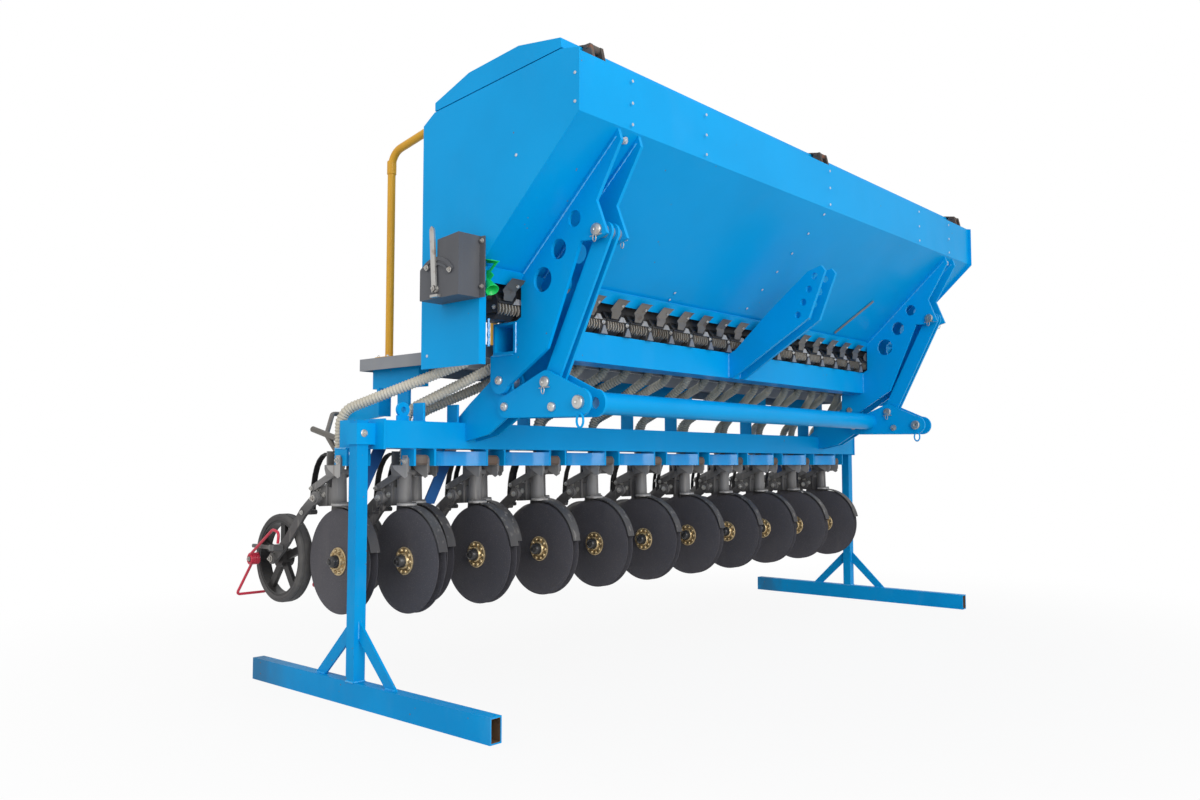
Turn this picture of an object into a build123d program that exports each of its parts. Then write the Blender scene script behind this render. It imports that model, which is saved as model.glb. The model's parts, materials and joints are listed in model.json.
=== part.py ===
from build123d import *
import math
import os

# Seed drill: a built-up drill that stands on two T-shaped parking stands.
# Millimetres. X runs across the machine, the coupling side faces -Y, Z is up, and the
# origin is on the floor under the middle of the machine.

# General sizes
seat = 0.3               # gap between pieces that rest on each other
run_gap = 5.0            # gap between a moving piece and the rest
plate = 12.0             # thick welded plate
sheet = 4.0              # folded sheet

# Seed hopper, as (Y, Z) seen from the side
hopper_half = 1391.0     # middle of the machine to the middle of an end plate
end_plate = 5.0
flange = 12.0            # how far an end plate stands out past the hopper's sheet
hopper_front = -745.0
hopper_rear = -75.0
hopper_base = 1010.0
outlet_z = 1290.0        # bottom of the trough
outlet_rear = -190.0
slope_front = -345.0
slope_low = outlet_z + 13
band_top = 1848.0
band_low = band_top - 175
rim_front = (hopper_front + 69, band_top + 14)
rim_rear = (hopper_rear - 53, band_top - 34)
rear_shoulder = band_top - 66
rear_knee = outlet_z + 190       # where the rear wall turns in to the outlet
mouth_depth = 60.0

# Lid, hinged along its front edge
lid_gap = 5.0
lid_rise = 31.0          # height of the skirt at the rear
lid_open = 50.0          # how far the hollow runs out below the skirt
lid_folds = [(458.0, 52.0), (241.0, 73.0), (73.0, 48.0)]   # behind the hopper's front, above its band
lid_facets = [(hopper_front + back, band_top + rise) for back, rise in lid_folds]
hinge_pin = (hopper_front + 41, band_top + 36)
hinge_pin_r = 5.0
knuckle_r = 12.0
knuckle_length = 30.0
hinge_xs = [-1290.0, 0.0, 1290.0]
strap_reach = 90.0       # strap over the lid's front facet
strap_thick = 5.6

# Headstock: box beam, brackets up the hopper's slope, coupling arms and links
beam_half = 1215.0
beam_side = 100.0
beam_front = -310.0
beam_base = 1058.0
beam_wall = 8.0
coupling_x = 1161.0      # middle of each set of plates
bracket_gap = 45.0       # middle of a set to the middle of a bracket plate
arm_plate = 10.0
ear_pin = (-647.0, 1393.0)
link_pin = (-427.0, 964.0)
lug_bolt = (-237.0, 978.0)
low_bolt = (-250.0, 896.0)
tie_bolt = (-457.0, 888.0)
tip_pin = (-568.0, 898.0)
link_width = 60.0
link_thick = 10.0
link_gap = 18.0          # between the two flats of a link
joint_pin_r = 12.0
collar_r = 20.0
tie_bolt_r = 9.0
head_reach = 10.0        # a bolt's end past the outer plate
tip_pin_r = 18.0
tip_round = 42.0
link_round = 36.0
low_round = 35.0
lug_round = 42.0
bracket_holes = [(-558.0, 1440.0, 25.0), (-493.0, 1359.0, 31.0), (-426.0, 1275.0, 38.0)]   # Y, Z, radius
bracket_front = [(-447.0, 1064.0), (-582.0, 1370.0)]
bracket_nose = [(-644.0, 1481.0), (-738.0, 1640.0)]

# Bracket for the top link
top_gap = 40.0
top_plate = 15.0
top_hole_r = 13.0
top_hole_first = (-699.0, 1418.0)
top_hole_last = (-626.0, 1279.0)
top_hole_count = 4
top_upper = [(-726.0, 1456.0), (-669.0, 1439.0), (-501.0, 1306.0), (-340.0, 1165.0)]
top_lower = [(-330.0, beam_base), (-672.0, 1264.0), (-742.0, 1435.0)]

# Tube between the coupling arms
cross_tube_r = 38.0
cross_tube_wall = 6.0
cross_tube_at = (-330.0, 920.0)

# Coulter frame
rail_half = 1510.0
rail_side = 85.0
rail_front = -50.0
rail_base = 766.0
rail_wall = 6.0
rail_cap = 8.0
row_setback = 140.0      # rear row behind the front row
row_pitch = 300.0        # coulter to coulter within a row
front_count = 10
rear_count = 11
tie_xs = [-1275.0, -675.0, -75.0, 75.0, 675.0, 1275.0]
lug_half = 40.0
lug_plate = 8.0
lug_drop = 55.0
lug_reach = (36.0, 30.0) # a lug's plate in front of and behind its pivot
bow_depth = 45.0         # hollow of the curved plates between the lugs
bow_plate = 6.0
bow_gap = 8.0            # between a curved plate and the rail
bracket_back = (-69.0, 912.0)    # upper rear corner of the plates on the front rail

# Coulter, from its disc hub
hub_front_y = 30.0
hub_z = 411.0
disc_r = 165.0
disc_plate = 4.0
disc_half_gap = 13.0     # middle of the coulter to the inner face of a disc
hub_r = 46.0
hub_step = 14.0
cap_r = 30.0
cap_reach = 45.0
barrel_r = 20.0
trunk_plate = 14.0
pivot_back = -40.0       # pivot of the coulter's arm, from the hub
pivot_z = rail_base - 38
boot_back = 28.0         # seed trunk behind the hub
boot_top = rail_base - 66
boot_r = 22.0
trunk_foot = 584.0       # where the trunk meets the saddle over the discs
trunk_low_r = 25.0
saddle_r = 30.0
pivot_pin_r = 8.0
ear_plate = 6.0
guard_gap = 6.0          # guard band outside the discs
guard_thick = 4.0
guard_arc = (12.0, 100.0)        # degrees up from level, at the front
back_plate_y = 69.0      # upright plate behind the trunk
link_bolt = (139.0, 638.0)       # behind the hub, above the floor
arm_bolt = (109.0, 607.0)
arm_bend = (177.0, 559.0)
arm_knee = (271.0, 463.0)
arm_half = 17.0
trail_plate = 10.0
spring_width = 20.0
spring_curve = [(72.3, 752.0), (150.0, 760.0), (182.0, 690.0), (177.0, 567.3)]   # behind the hub, Z

# Press wheels
press_back = 348.0
press_z = 400.0
press_r = 148.5
press_width = 48.0
tyre_thick = 22.0
rim_thick = 8.0
wheel_hub_r = 30.0
wheel_pin_r = 10.0
spoke_count = 5
spoke_width = 26.0

# Covering tines, on the rear row
tine_r = 5.0
tine_end = 745.0
tine_low = 262.0
tine_foot = (288.0, 312.0, 430.0, 450.0)   # behind the hub from, to, Z from, to

# Metering units and seed hoses
unit_pitch = 125.0
unit_width = 88.0
unit_deep = 130.0
unit_front = -322.0
unit_brow = 1236.0
spout_y = -170.0
spout_end = 1108.0
spout_r = 22.0
spout_hold = 26.0        # how far the housing reaches behind the spout's middle
lever_width = 46.0
lever_line = [(0.0, 1216.0), (0.0, 1258.0), (9.0, 1266.0)]   # behind the lever's face, Z
hose_r = 18.0
hose_drop = 1050.0       # first bend under the spout
hose_turn = 885.0        # second bend over the trunk
hose_bends = [75, 70]

# Platform and handrail behind the hopper
deck_front = -60.0
deck_rear = 300.0
deck_top = 1070.0
deck_half = 1360.0
deck_fold = 40.0
deck_support_xs = [-1300.0, -750.0, -150.0, 150.0, 750.0, 1300.0]
bearer_front = 30.0
bearer_rear = 280.0
bearer_low = deck_top - 100
crank_bar = [(244.0, 905.0), (470.0, 885.0)]
crank_bar_half = 27.0
pipe_r = 13.5
rail_posts = [-1280.0, -800.0]
post_y = 245.0
elbow_z = 1790.0

# Crank at the near rear corner
crank_x = -1470.0
crank_grip = [(405.0, 834.0), (244.0, 795.0)]
crank_spindle = [(322.0, 814.0), (256.0, 752.0)]
crank_clevis = [(800.0, 0.0), (772.0, 0.0), (735.0, 65.0), (742.0, 93.0), (760.0, 93.0), (790.0, 45.0)]

# Drive cover, quadrant and lever on the near end plate, and the calibration flap inside it
cover_deep = 84.0
cover_outline = [(-173.0, 1203.0), (-173.0, 1296.0), (-200.0, 1316.0), (-254.0, 1326.0), (-254.0, 1378.0),
                 (-350.0, 1388.0), (-350.0, 1205.0)]
lever_pivot = (-251.0, 1231.0)
lever_top = 1419.0
quadrant_r = (70.0, 95.0)
quadrant_span = (35.0, 125.0)
flap_outline = [(-336.0, 1284.0), (-346.0, 1296.0), (-393.0, 1316.0), (-366.0, 1272.0), (-350.0, 1262.0),
                (-346.0, 1214.0), (-336.0, 1214.0)]
flap_x = -1360.0
funnel_end = (-370.0, 1226.0)
funnel_r = 20.0

# Parking stands
post_side = 40.0
stand_gap = 21.0         # rail's cap to the post
stand_x = rail_half + rail_cap / 2 + stand_gap + post_side / 2
post_centre = 15.0
post_top = rail_base + 84
post_wall = 4.0
foot_height = 70.0
foot_front = -607.0
foot_rear = 574.0
gusset_top = 250.0
gusset_reach = 200.0
gusset_wide = 55.0
gusset_plate = 8.0

unit_count = front_count + rear_count
hopper_in = hopper_half - end_plate / 2
beam_top = beam_base + beam_side
beam_rear = beam_front + beam_side
rail_rear = rail_front + rail_side
rail_top = rail_base + rail_side
rim_slope = (rim_front[1] - rim_rear[1]) / (rim_front[0] - rim_rear[0])
arm_gap = bracket_gap - plate / 2 - seat - arm_plate / 2
rail_bracket_gap = arm_gap - arm_plate - seat
arm_offset = press_width / 2 + run_gap + 1 + trail_plate / 2


def block(x0, x1, y0, y1, z0, z1):
    """A box between two corners."""
    size = (x1 - x0, y1 - y0, z1 - z0)
    return Pos((x0 + x1) / 2, (y0 + y1) / 2, (z0 + z1) / 2) * Box(*size)


def side_plate(points, x_mid, thick):
    """A plate across X from its (Y, Z) outline."""
    edge = Polyline(*[(x_mid - thick / 2, y, z) for y, z in points], close=True)
    return extrude(make_face(edge), amount=thick, dir=(1, 0, 0))


def round_plate(points, ends, holes, x_mid, thick):
    """A plate across X from its outline, with round ends and holes given as (Y, Z, radius)."""
    face = make_face(Polyline(*points, close=True))
    for y, z, radius in ends:
        face += Pos(y, z) * Circle(radius)
    for y, z, radius in holes:
        face -= Pos(y, z) * Circle(radius)
    side = Plane((x_mid - thick / 2, 0, 0), x_dir=(0, 1, 0), z_dir=(1, 0, 0))
    return extrude(side * face, amount=thick, dir=(1, 0, 0))


def flat_outline(points, half):
    """The outline of a bent flat of that half width along its (Y, Z) points."""
    normals = []
    for (y0, z0), (y1, z1) in zip(points, points[1:]):
        length = math.hypot(y1 - y0, z1 - z0)
        normals.append(((z0 - z1) / length, (y1 - y0) / length))
    left, right = [], []
    for i, (y, z) in enumerate(points):
        before, after = normals[max(i - 1, 0)], normals[min(i, len(normals) - 1)]
        share = half / (1 + before[0] * after[0] + before[1] * after[1])
        step = ((before[0] + after[0]) * share, (before[1] + after[1]) * share)
        left.append((y + step[0], z + step[1]))
        right.append((y - step[0], z - step[1]))
    return left + right[::-1]


def curve(corners, count):
    """Points along the smooth curve that four corners pull."""
    points = []
    for i in range(count + 1):
        t = i / count
        weights = ((1 - t) ** 3, 3 * t * (1 - t) ** 2, 3 * t ** 2 * (1 - t), t ** 3)
        points.append(tuple(sum(w * corner[axis] for w, corner in zip(weights, corners)) for axis in (0, 1)))
    return points


def bar_x(x0, x1, y, z, radius):
    """A round bar along X."""
    middle = (x0 + x1) / 2
    return Pos(middle, y, z) * Rot(0, 90, 0) * Cylinder(radius, x1 - x0)


def rod(start, end, radius):
    """A round rod between two points."""
    line = Edge.make_line(start, end)
    return sweep(Plane(start, z_dir=line % 0) * Circle(radius), path=line)


def bent_rod(points, radii, radius):
    """A round rod along straight runs that tangent arcs join."""
    path = FilletPolyline(*points, radius=radii)
    return sweep(Plane(path @ 0, z_dir=path % 0) * Circle(radius), path=path)


def box_tube_x(x0, x1, y0, z0, side, wall):
    """A square tube along X."""
    outer = block(x0, x1, y0, y0 + side, z0, z0 + side)
    bore = block(x0 - 1, x1 + 1, y0 + wall, y0 + side - wall, z0 + wall, z0 + side - wall)
    return outer - bore


def row_xs(count):
    """The places of a row's coulters across the machine."""
    return [(i - (count - 1) / 2) * row_pitch for i in range(count)]


front_xs = row_xs(front_count)
rear_xs = row_xs(rear_count)
coulters = sorted([(x, hub_front_y) for x in front_xs] + [(x, hub_front_y + row_setback) for x in rear_xs])


def slope_corners(inset):
    """Upper and lower corners of the front slope, drawn in by an inset."""
    angle = math.atan2(band_low - slope_low, slope_front - hopper_front)
    lift = inset * (1 - math.sin(angle)) / math.cos(angle)
    return [(hopper_front + inset, band_low + lift), (slope_front + inset, slope_low + lift)]


def hopper_outline(inset):
    """The hopper's (Y, Z) section above its outlet, drawn in by a flange or a wall."""
    return [
        (hopper_rear - inset, rear_knee),
        (hopper_rear - inset, rear_shoulder),
        rim_rear,
        rim_front,
        (hopper_front + inset, band_top),
        *slope_corners(inset),
        (slope_front + inset, outlet_z),
        (outlet_rear - inset, outlet_z),
    ]


def make_hopper_shell():
    """Trough of folded sheet, open at the top and at the outlet row."""
    outer = side_plate(hopper_outline(flange), 0, 2 * hopper_in)
    inner = side_plate(hopper_outline(flange + sheet), 0, 2 * hopper_in)
    low, high = rear_shoulder - mouth_depth, band_top + 2 * mouth_depth
    mouth = side_plate([(rim_rear[0] - sheet, low), (rim_rear[0] - sheet, high), (rim_front[0] + sheet, high),
                        (rim_front[0] + sheet, low)], 0, 2 * hopper_in)
    floor = block(-hopper_in, hopper_in, slope_front + flange, outlet_rear - flange, outlet_z, outlet_z + sheet)
    return outer - inner - mouth + floor


def make_hopper_ends():
    """The two end plates that close the trough and carry the drive."""
    outline = [
        (hopper_rear, hopper_base), (hopper_rear, rear_shoulder), rim_rear, rim_front,
        (hopper_front, band_top), (hopper_front, band_low), (slope_front, slope_low),
        (slope_front, hopper_base),
    ]
    return [side_plate(outline, side * hopper_half, end_plate) for side in (-1, 1)]


def lid_section(inset):
    """The lid's (Y, Z) section: a skirt and three flat facets."""
    front_y, rear_y = rim_front[0] + inset, rim_rear[0] - inset
    rim_at = lambda y: rim_front[1] + (y - rim_front[0]) * rim_slope + lid_gap
    peaks = [(y, z - inset) for y, z in lid_facets]
    peaks[-1] = (peaks[-1][0] + inset, peaks[-1][1])
    low = -lid_open if inset else 0.0
    return [(rear_y, rim_at(rear_y) + low), (rear_y, rim_rear[1] + lid_rise - inset)] + peaks + \
        [(front_y, rim_at(front_y) + low)]


def make_lid():
    """A ridged lid of sheet with closed ends."""
    outer = side_plate(lid_section(0), 0, 2 * hopper_half)
    inner = side_plate(lid_section(sheet), 0, 2 * (hopper_half - sheet))
    return outer - inner


def make_lid_straps():
    """Hinge leaves: a knuckle on the pin and a strap over the front facet."""
    facet, ridge = lid_facets[-1], lid_facets[-2]
    rise = strap_reach * (ridge[1] - facet[1]) / (ridge[0] - facet[0])
    straps = []
    for x in hinge_xs:
        knuckle = bar_x(x - knuckle_length / 2, x + knuckle_length / 2, *hinge_pin, knuckle_r)
        bore = bar_x(x - knuckle_length, x + knuckle_length, *hinge_pin, hinge_pin_r + seat)
        outline = [
            (hinge_pin[0], hinge_pin[1] + knuckle_r), (facet[0], facet[1] + strap_thick + seat),
            (facet[0] + strap_reach, facet[1] + rise + strap_thick + seat),
            (facet[0] + strap_reach, facet[1] + rise + seat), (facet[0], facet[1] + seat),
            (hinge_pin[0], hinge_pin[1] + knuckle_r / 2),
        ]
        straps.append(knuckle + side_plate(outline, x, knuckle_length) - bore)
    return straps


def make_hinge_brackets():
    """Hinge blocks on the hopper's front flange, each with its pin."""
    ledge_front = hopper_front + flange
    grade = (rim_front[1] - band_top) / (rim_front[0] - ledge_front)
    low = [(y, band_top + (y - ledge_front) * grade + seat) for y in (hinge_pin[0] - 22, hinge_pin[0] + 20)]
    brackets = []
    for x in hinge_xs:
        ears = []
        for side in (-1, 1):
            middle = x + side * (knuckle_length / 2 + 1 + 6)
            outline = [low[0], (hinge_pin[0] - 12, hinge_pin[1] + 8), (hinge_pin[0] + 12, hinge_pin[1] + 8), low[1]]
            ears.append(side_plate(outline, middle, 12))
        pin = bar_x(x - knuckle_length / 2 - 16, x + knuckle_length / 2 + 16, *hinge_pin, hinge_pin_r)
        brackets.append(ears[0] + ears[1] + pin)
    return brackets


def make_beam():
    """The headstock's square beam."""
    return box_tube_x(-beam_half, beam_half, beam_front, beam_base, beam_side, beam_wall)


def make_side_brackets():
    """Plate pairs from the hopper's slope down past the beam to the lug bolt."""
    top, knee = slope_corners(flange - seat)
    grade = (knee[1] - top[1]) / (knee[0] - top[0])
    tip_y = hopper_front + flange + run_gap
    outline = [
        (tip_y, top[1] + (tip_y - top[0]) * grade), knee,
        (knee[0], beam_top + plate), (beam_front - seat, beam_top),
        (beam_front - seat, beam_base - seat), (lug_bolt[0] + lug_round, beam_base - seat),
        (lug_bolt[0] + lug_round, lug_bolt[1]), (lug_bolt[0], lug_bolt[1] - lug_round), *bracket_front,
        (ear_pin[0] + 10, ear_pin[1] - 27), (ear_pin[0] - 38, ear_pin[1] - 15), (ear_pin[0] - 20, ear_pin[1] + 30),
        *bracket_nose,
    ]
    holes = bracket_holes + [(*ear_pin, joint_pin_r + seat), (*lug_bolt, joint_pin_r + seat)]
    return [round_plate(outline, [(*lug_bolt, lug_round)], holes, side * coupling_x + step * bracket_gap, plate)
            for side in (-1, 1) for step in (-1, 1)]


def make_links():
    """Pairs of flats from the brackets' ears down to the coupling arms."""
    run = (link_pin[0] - ear_pin[0], link_pin[1] - ear_pin[1])
    length = math.hypot(*run)
    across = (-run[1] / length * link_width / 2, run[0] / length * link_width / 2)
    outline = [(ear_pin[0] + across[0], ear_pin[1] + across[1]), (link_pin[0] + across[0], link_pin[1] + across[1]),
               (link_pin[0] - across[0], link_pin[1] - across[1]), (ear_pin[0] - across[0], ear_pin[1] - across[1])]
    ends = [(*ear_pin, link_width / 2), (*link_pin, link_width / 2)]
    holes = [(*ear_pin, joint_pin_r + seat), (*link_pin, joint_pin_r + seat)]
    offset = (link_gap + link_thick) / 2
    return [round_plate(outline, ends, holes, side * coupling_x + step * offset, link_thick)
            for side in (-1, 1) for step in (-1, 1)]


def make_coupling_arms():
    """Plate pairs that take the lower coupling pins."""
    outline = [
        (tip_pin[0], tip_pin[1] + tip_round), (link_pin[0] - 16, link_pin[1] + link_round - 4),
        (link_pin[0] + 16, link_pin[1] + link_round - 4), (low_bolt[0], low_bolt[1] + low_round),
        (low_bolt[0], low_bolt[1] - low_round), (tip_pin[0], tip_pin[1] - tip_round),
    ]
    ends = [(*tip_pin, tip_round), (*link_pin, link_round), (*low_bolt, low_round)]
    holes = [(*tip_pin, tip_pin_r), (*link_pin, joint_pin_r + seat), (*low_bolt, joint_pin_r + seat),
             (*tie_bolt, tie_bolt_r + seat)]
    return [round_plate(outline, ends, holes, side * coupling_x + step * arm_gap, arm_plate)
            for side in (-1, 1) for step in (-1, 1)]


def make_rail_brackets():
    """Plate pairs on the front rail that carry the arms and the headstock."""
    outline = [
        (lug_bolt[0], lug_bolt[1] + 30), (lug_bolt[0] + 35, lug_bolt[1] + 24), bracket_back,
        (rail_rear - 25, rail_top + seat), (rail_front - seat, rail_top + seat), (rail_front - seat, rail_base + 25),
        (low_bolt[0] + 90, rail_base + 45), (low_bolt[0], low_bolt[1] - low_round + 3),
        (low_bolt[0] - 30, low_bolt[1]), (lug_bolt[0] - 30, lug_bolt[1]),
    ]
    ends = [(*lug_bolt, 30), (*low_bolt, low_round - 3)]
    holes = [(*lug_bolt, joint_pin_r + seat), (*low_bolt, joint_pin_r + seat)]
    return [round_plate(outline, ends, holes, side * coupling_x + step * rail_bracket_gap, arm_plate)
            for side in (-1, 1) for step in (-1, 1)]


def make_coupling_pins():
    """Pins and bolts through the headstock's plates, with the collars between them."""
    outer = bracket_gap + plate / 2
    bracket_in, arm_in = bracket_gap - plate / 2 - seat, arm_gap - arm_plate / 2 - seat
    arm_out = arm_gap + arm_plate / 2
    link_out = link_gap / 2 + link_thick + seat
    link_in = link_gap / 2 - seat
    rail_in, rail_out = rail_bracket_gap - arm_plate / 2 - seat, rail_bracket_gap + arm_plate / 2 + seat
    # Each pin: its place, radius, reach, and its collars from and to, out from the middle
    pins = [
        (ear_pin, joint_pin_r, outer + head_reach, [(-link_in, link_in), (link_out, bracket_in)]),
        (link_pin, joint_pin_r, arm_out + head_reach, [(-link_in, link_in), (link_out, arm_in)]),
        (lug_bolt, joint_pin_r, outer + head_reach, [(-rail_in, rail_in), (rail_out, bracket_in)]),
        (low_bolt, joint_pin_r, arm_out + head_reach, [(-rail_in, rail_in)]),
        (tie_bolt, tie_bolt_r, arm_out + head_reach, [(-arm_in, arm_in)]),
    ]
    made = []
    for side in (-1, 1):
        x = side * coupling_x
        for place, radius, reach, collars in pins:
            pin = bar_x(x - reach, x + reach, *place, radius)
            for start, end in collars:
                pin += bar_x(x + start, x + end, *place, collar_r)
                pin += bar_x(x - end, x - start, *place, collar_r)
            made.append(pin)
    return made


def make_cross_tube():
    """Round tube that ties the two sets of coupling arms."""
    reach = coupling_x - arm_gap - arm_plate / 2 - seat
    tube = bar_x(-reach, reach, *cross_tube_at, cross_tube_r)
    return tube - bar_x(-reach - 1, reach + 1, *cross_tube_at, cross_tube_r - cross_tube_wall)


def make_top_bracket():
    """Two plates on the beam with a row of holes for the top link."""
    outline = top_upper + [(beam_front - seat, beam_top), (beam_front - seat, beam_base)] + top_lower
    holes = []
    for i in range(top_hole_count):
        share = i / (top_hole_count - 1)
        holes.append((top_hole_first[0] + share * (top_hole_last[0] - top_hole_first[0]),
                      top_hole_first[1] + share * (top_hole_last[1] - top_hole_first[1]), top_hole_r))
    return [round_plate(outline, [], holes, side * top_gap, top_plate) for side in (-1, 1)]


def make_rail(setback):
    """One square rail of the coulter frame, closed by end plates."""
    tube = box_tube_x(-rail_half, rail_half, rail_front + setback, rail_base, rail_side, rail_wall)
    for side in (-1, 1):
        x = side * rail_half
        tube += block(x - rail_cap / 2, x + rail_cap / 2, rail_front + setback - 4, rail_rear + setback + 4,
                      rail_base - 4, rail_top + 4)
    return tube


def make_rail_ties():
    """Plates that tie the rear rail to the front one."""
    return [block(x - 6, x + 6, rail_rear + seat, rail_front + row_setback - seat, rail_base + 8, rail_top - 8)
            for x in tie_xs]


def make_lugs():
    """Plate pairs under the rails that hold the coulters' pivots."""
    lugs = []
    for x, hub_y in coulters:
        back = hub_y + pivot_back
        outline = [(back - lug_reach[0], rail_base - seat), (back + lug_reach[1], rail_base - seat),
                   (back + lug_reach[1], rail_base - lug_drop), (back - lug_reach[0], rail_base - lug_drop)]
        for side in (-1, 1):
            lugs.append(round_plate(outline, [], [(back, pivot_z, pivot_pin_r + seat)],
                                    x + side * lug_half, lug_plate))
    return lugs


def make_bowed_plates():
    """Curved plates between the front rail's pairs of lugs."""
    plates = []
    low, high = rail_base - lug_drop, rail_base - bow_gap
    y = rail_front + bow_gap
    for left, right in zip(front_xs, front_xs[1:]):
        x0, x1 = left + lug_half + lug_plate / 2 + seat, right - lug_half - lug_plate / 2 - seat
        half = (x1 - x0) / 2
        radius = (half ** 2 + bow_depth ** 2) / (2 * bow_depth)
        middle = Pos((x0 + x1) / 2, y + bow_depth - radius, (low + high) / 2)
        ring = middle * (Cylinder(radius + bow_plate / 2, high - low) - Cylinder(radius - bow_plate / 2, high - low))
        plates.append(ring & block(x0, x1, y - bow_plate, y + bow_depth + bow_plate, low, high))
    return plates


def make_coulter(x, hub_y):
    """Ears, trunk with its saddle and axle bore, links, guard, and the arm of its press wheel."""
    pivot_y, boot_y = hub_y + pivot_back, hub_y + boot_back
    near = x - lug_half - lug_plate / 2 - seat - ear_plate / 2
    far = x + lug_half - lug_plate / 2 - seat - ear_plate / 2
    ear = [(pivot_y - 13, pivot_z), (pivot_y - 13, boot_top - 8), (pivot_y - 2, boot_top - 20),
           (hub_y + 26, boot_top - 22), (hub_y + 36, boot_top + 2), (hub_y + 36, boot_top + 14),
           (pivot_y + 13, boot_top + 14), (pivot_y + 13, pivot_z)]
    body = Pos(x, boot_y, (trunk_foot + boot_top) / 2) * Cone(trunk_low_r, boot_r, boot_top - trunk_foot)
    body += Pos(x, hub_y + 16, trunk_foot + 6) * Cylinder(saddle_r, 12)
    body += side_plate(
        [(hub_y + 58, trunk_foot + 6), (hub_y + 70, hub_z + 40), (hub_y + 24, hub_z - 12), (hub_y, hub_z - 36),
         (hub_y - 32, hub_z), (hub_y - 2, trunk_foot + 6)], x, trunk_plate)
    body += bar_x(near - ear_plate / 2, far + ear_plate / 2, hub_y + 14, boot_top - 10, 9)
    for side in (near, far):
        body += round_plate(ear, [(pivot_y, pivot_z, 13)], [], side, ear_plate)
    body += bar_x(near, x + lug_half + 12, pivot_y, pivot_z, pivot_pin_r)
    body += bar_x(x - lug_half + lug_plate / 2 + seat, far, pivot_y, pivot_z, 17)
    # Guard band over the front of the discs
    inner = disc_r + guard_gap
    low, high = (math.radians(a) for a in guard_arc)
    sector = [(hub_y, hub_z), (hub_y - 400 * math.cos(low), hub_z + 400 * math.sin(low)),
              (hub_y - 400, hub_z + 400), (hub_y - 400 * math.cos(high), hub_z + 400 * math.sin(high))]
    reach = disc_half_gap + disc_plate
    ring = bar_x(x - reach, x + reach, hub_y, hub_z, inner + guard_thick) - bar_x(
        x - reach, x + reach, hub_y, hub_z, inner)
    body += ring & side_plate(sector, x, 2 * reach)
    # Upright plate, link flats and bracket behind the trunk
    body += block(x - 20, x + 20, hub_y + back_plate_y - 3, hub_y + back_plate_y + 3, trunk_foot, rail_base - bow_gap)
    for side in (-1, 1):
        body += side_plate(flat_outline([(hub_y + 14, boot_top - 10), (hub_y + link_bolt[0], link_bolt[1])], 11),
                           x + side * 26, ear_plate)
    body += bar_x(x - 32, x + 32, hub_y + link_bolt[0], link_bolt[1], 9)
    body += side_plate(
        [(hub_y + 36, 600), (hub_y + 44, 640), (hub_y + 125, 652), (hub_y + 152, 636), (hub_y + 150, 600),
         (hub_y + 120, 580), (hub_y + 50, trunk_foot)], x, 2 * trunk_plate)
    body -= bar_x(x - 40, x + 40, hub_y, hub_z, barrel_r + 0.5)
    # Trailing arm, its bolt, and the wheel's axle
    press_y = hub_y + press_back
    line = [(hub_y + y, z) for y, z in (arm_bolt, arm_bend, arm_knee, (press_back, press_z))]
    body += round_plate(flat_outline(line, arm_half), [(*line[0], 22), (*line[-1], arm_half)], [],
                        x - arm_offset, trail_plate)
    outer = x - arm_offset - trail_plate / 2
    body += bar_x(outer - 4, x + trunk_plate, *line[0], 14)
    body += bar_x(outer - 2, x + spring_width / 2 + 2, *line[1], 8)
    body += bar_x(outer - 8, outer, press_y, press_z, 18)
    body += bar_x(outer - 10, x + press_width / 2 + 4, press_y, press_z, wheel_pin_r)
    return body


def make_straps(items):
    """Spring flats from each coulter's upright plate down to the bend of its wheel arm."""
    straps = []
    for x, hub_y in items:
        line = [(hub_y + y, z) for y, z in curve(spring_curve, 8)]
        straps.append(side_plate(flat_outline(line, 2), x, spring_width))
    return straps


def make_disc_pair(x, hub_y):
    """Two discs on one hub, with bolt rings and bearing caps outside."""
    near = disc_half_gap
    profile = [
        (0.0, 0.0), (0.0, barrel_r), (near, barrel_r), (near, disc_r), (near + disc_plate, disc_r - 3),
        (near + disc_plate, hub_r), (near + hub_step, hub_r), (near + hub_step + 6, cap_r),
        (near + cap_reach, cap_r - 4), (near + cap_reach, 0.0),
    ]
    edge = Polyline(*[(px, 0, pr) for px, pr in profile], close=True)
    half = revolve(make_face(edge), axis=Axis.X)
    pair = half + mirror(half, about=Plane.YZ)
    return Pos(x, hub_y, hub_z) * pair


def make_tyres(items):
    """Rubber tyres of the press wheels, rounded at the shoulders."""
    rim_r = press_r - tyre_thick
    half = press_width / 2
    section = make_face(FilletPolyline(
        (-half, 0, rim_r), (-half, 0, press_r), (half, 0, press_r), (half, 0, rim_r),
        radius=[0, 12, 12, 0], close=True))
    ring = revolve(section, axis=Axis.X)
    return [Pos(x, hub_y + press_back, press_z) * ring for x, hub_y in items]


def make_rims(items):
    """Spoked rims of the press wheels."""
    rim_r = press_r - tyre_thick
    turn = Rot(0, 90, 0)
    rim = turn * (Cylinder(rim_r, press_width - 8) - Cylinder(rim_r - rim_thick, press_width))
    rim += turn * Cylinder(wheel_hub_r, press_width - 4)
    half = spoke_width / 2
    for i in range(spoke_count):
        rim += Rot(i * 360 / spoke_count, 0, 0) * block(-7, 7, -half, half, wheel_hub_r - 6, rim_r - rim_thick + 2)
    rim -= turn * Cylinder(wheel_pin_r + 0.5, press_width)
    return [Pos(x, hub_y + press_back, press_z) * rim for x, hub_y in items]


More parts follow.
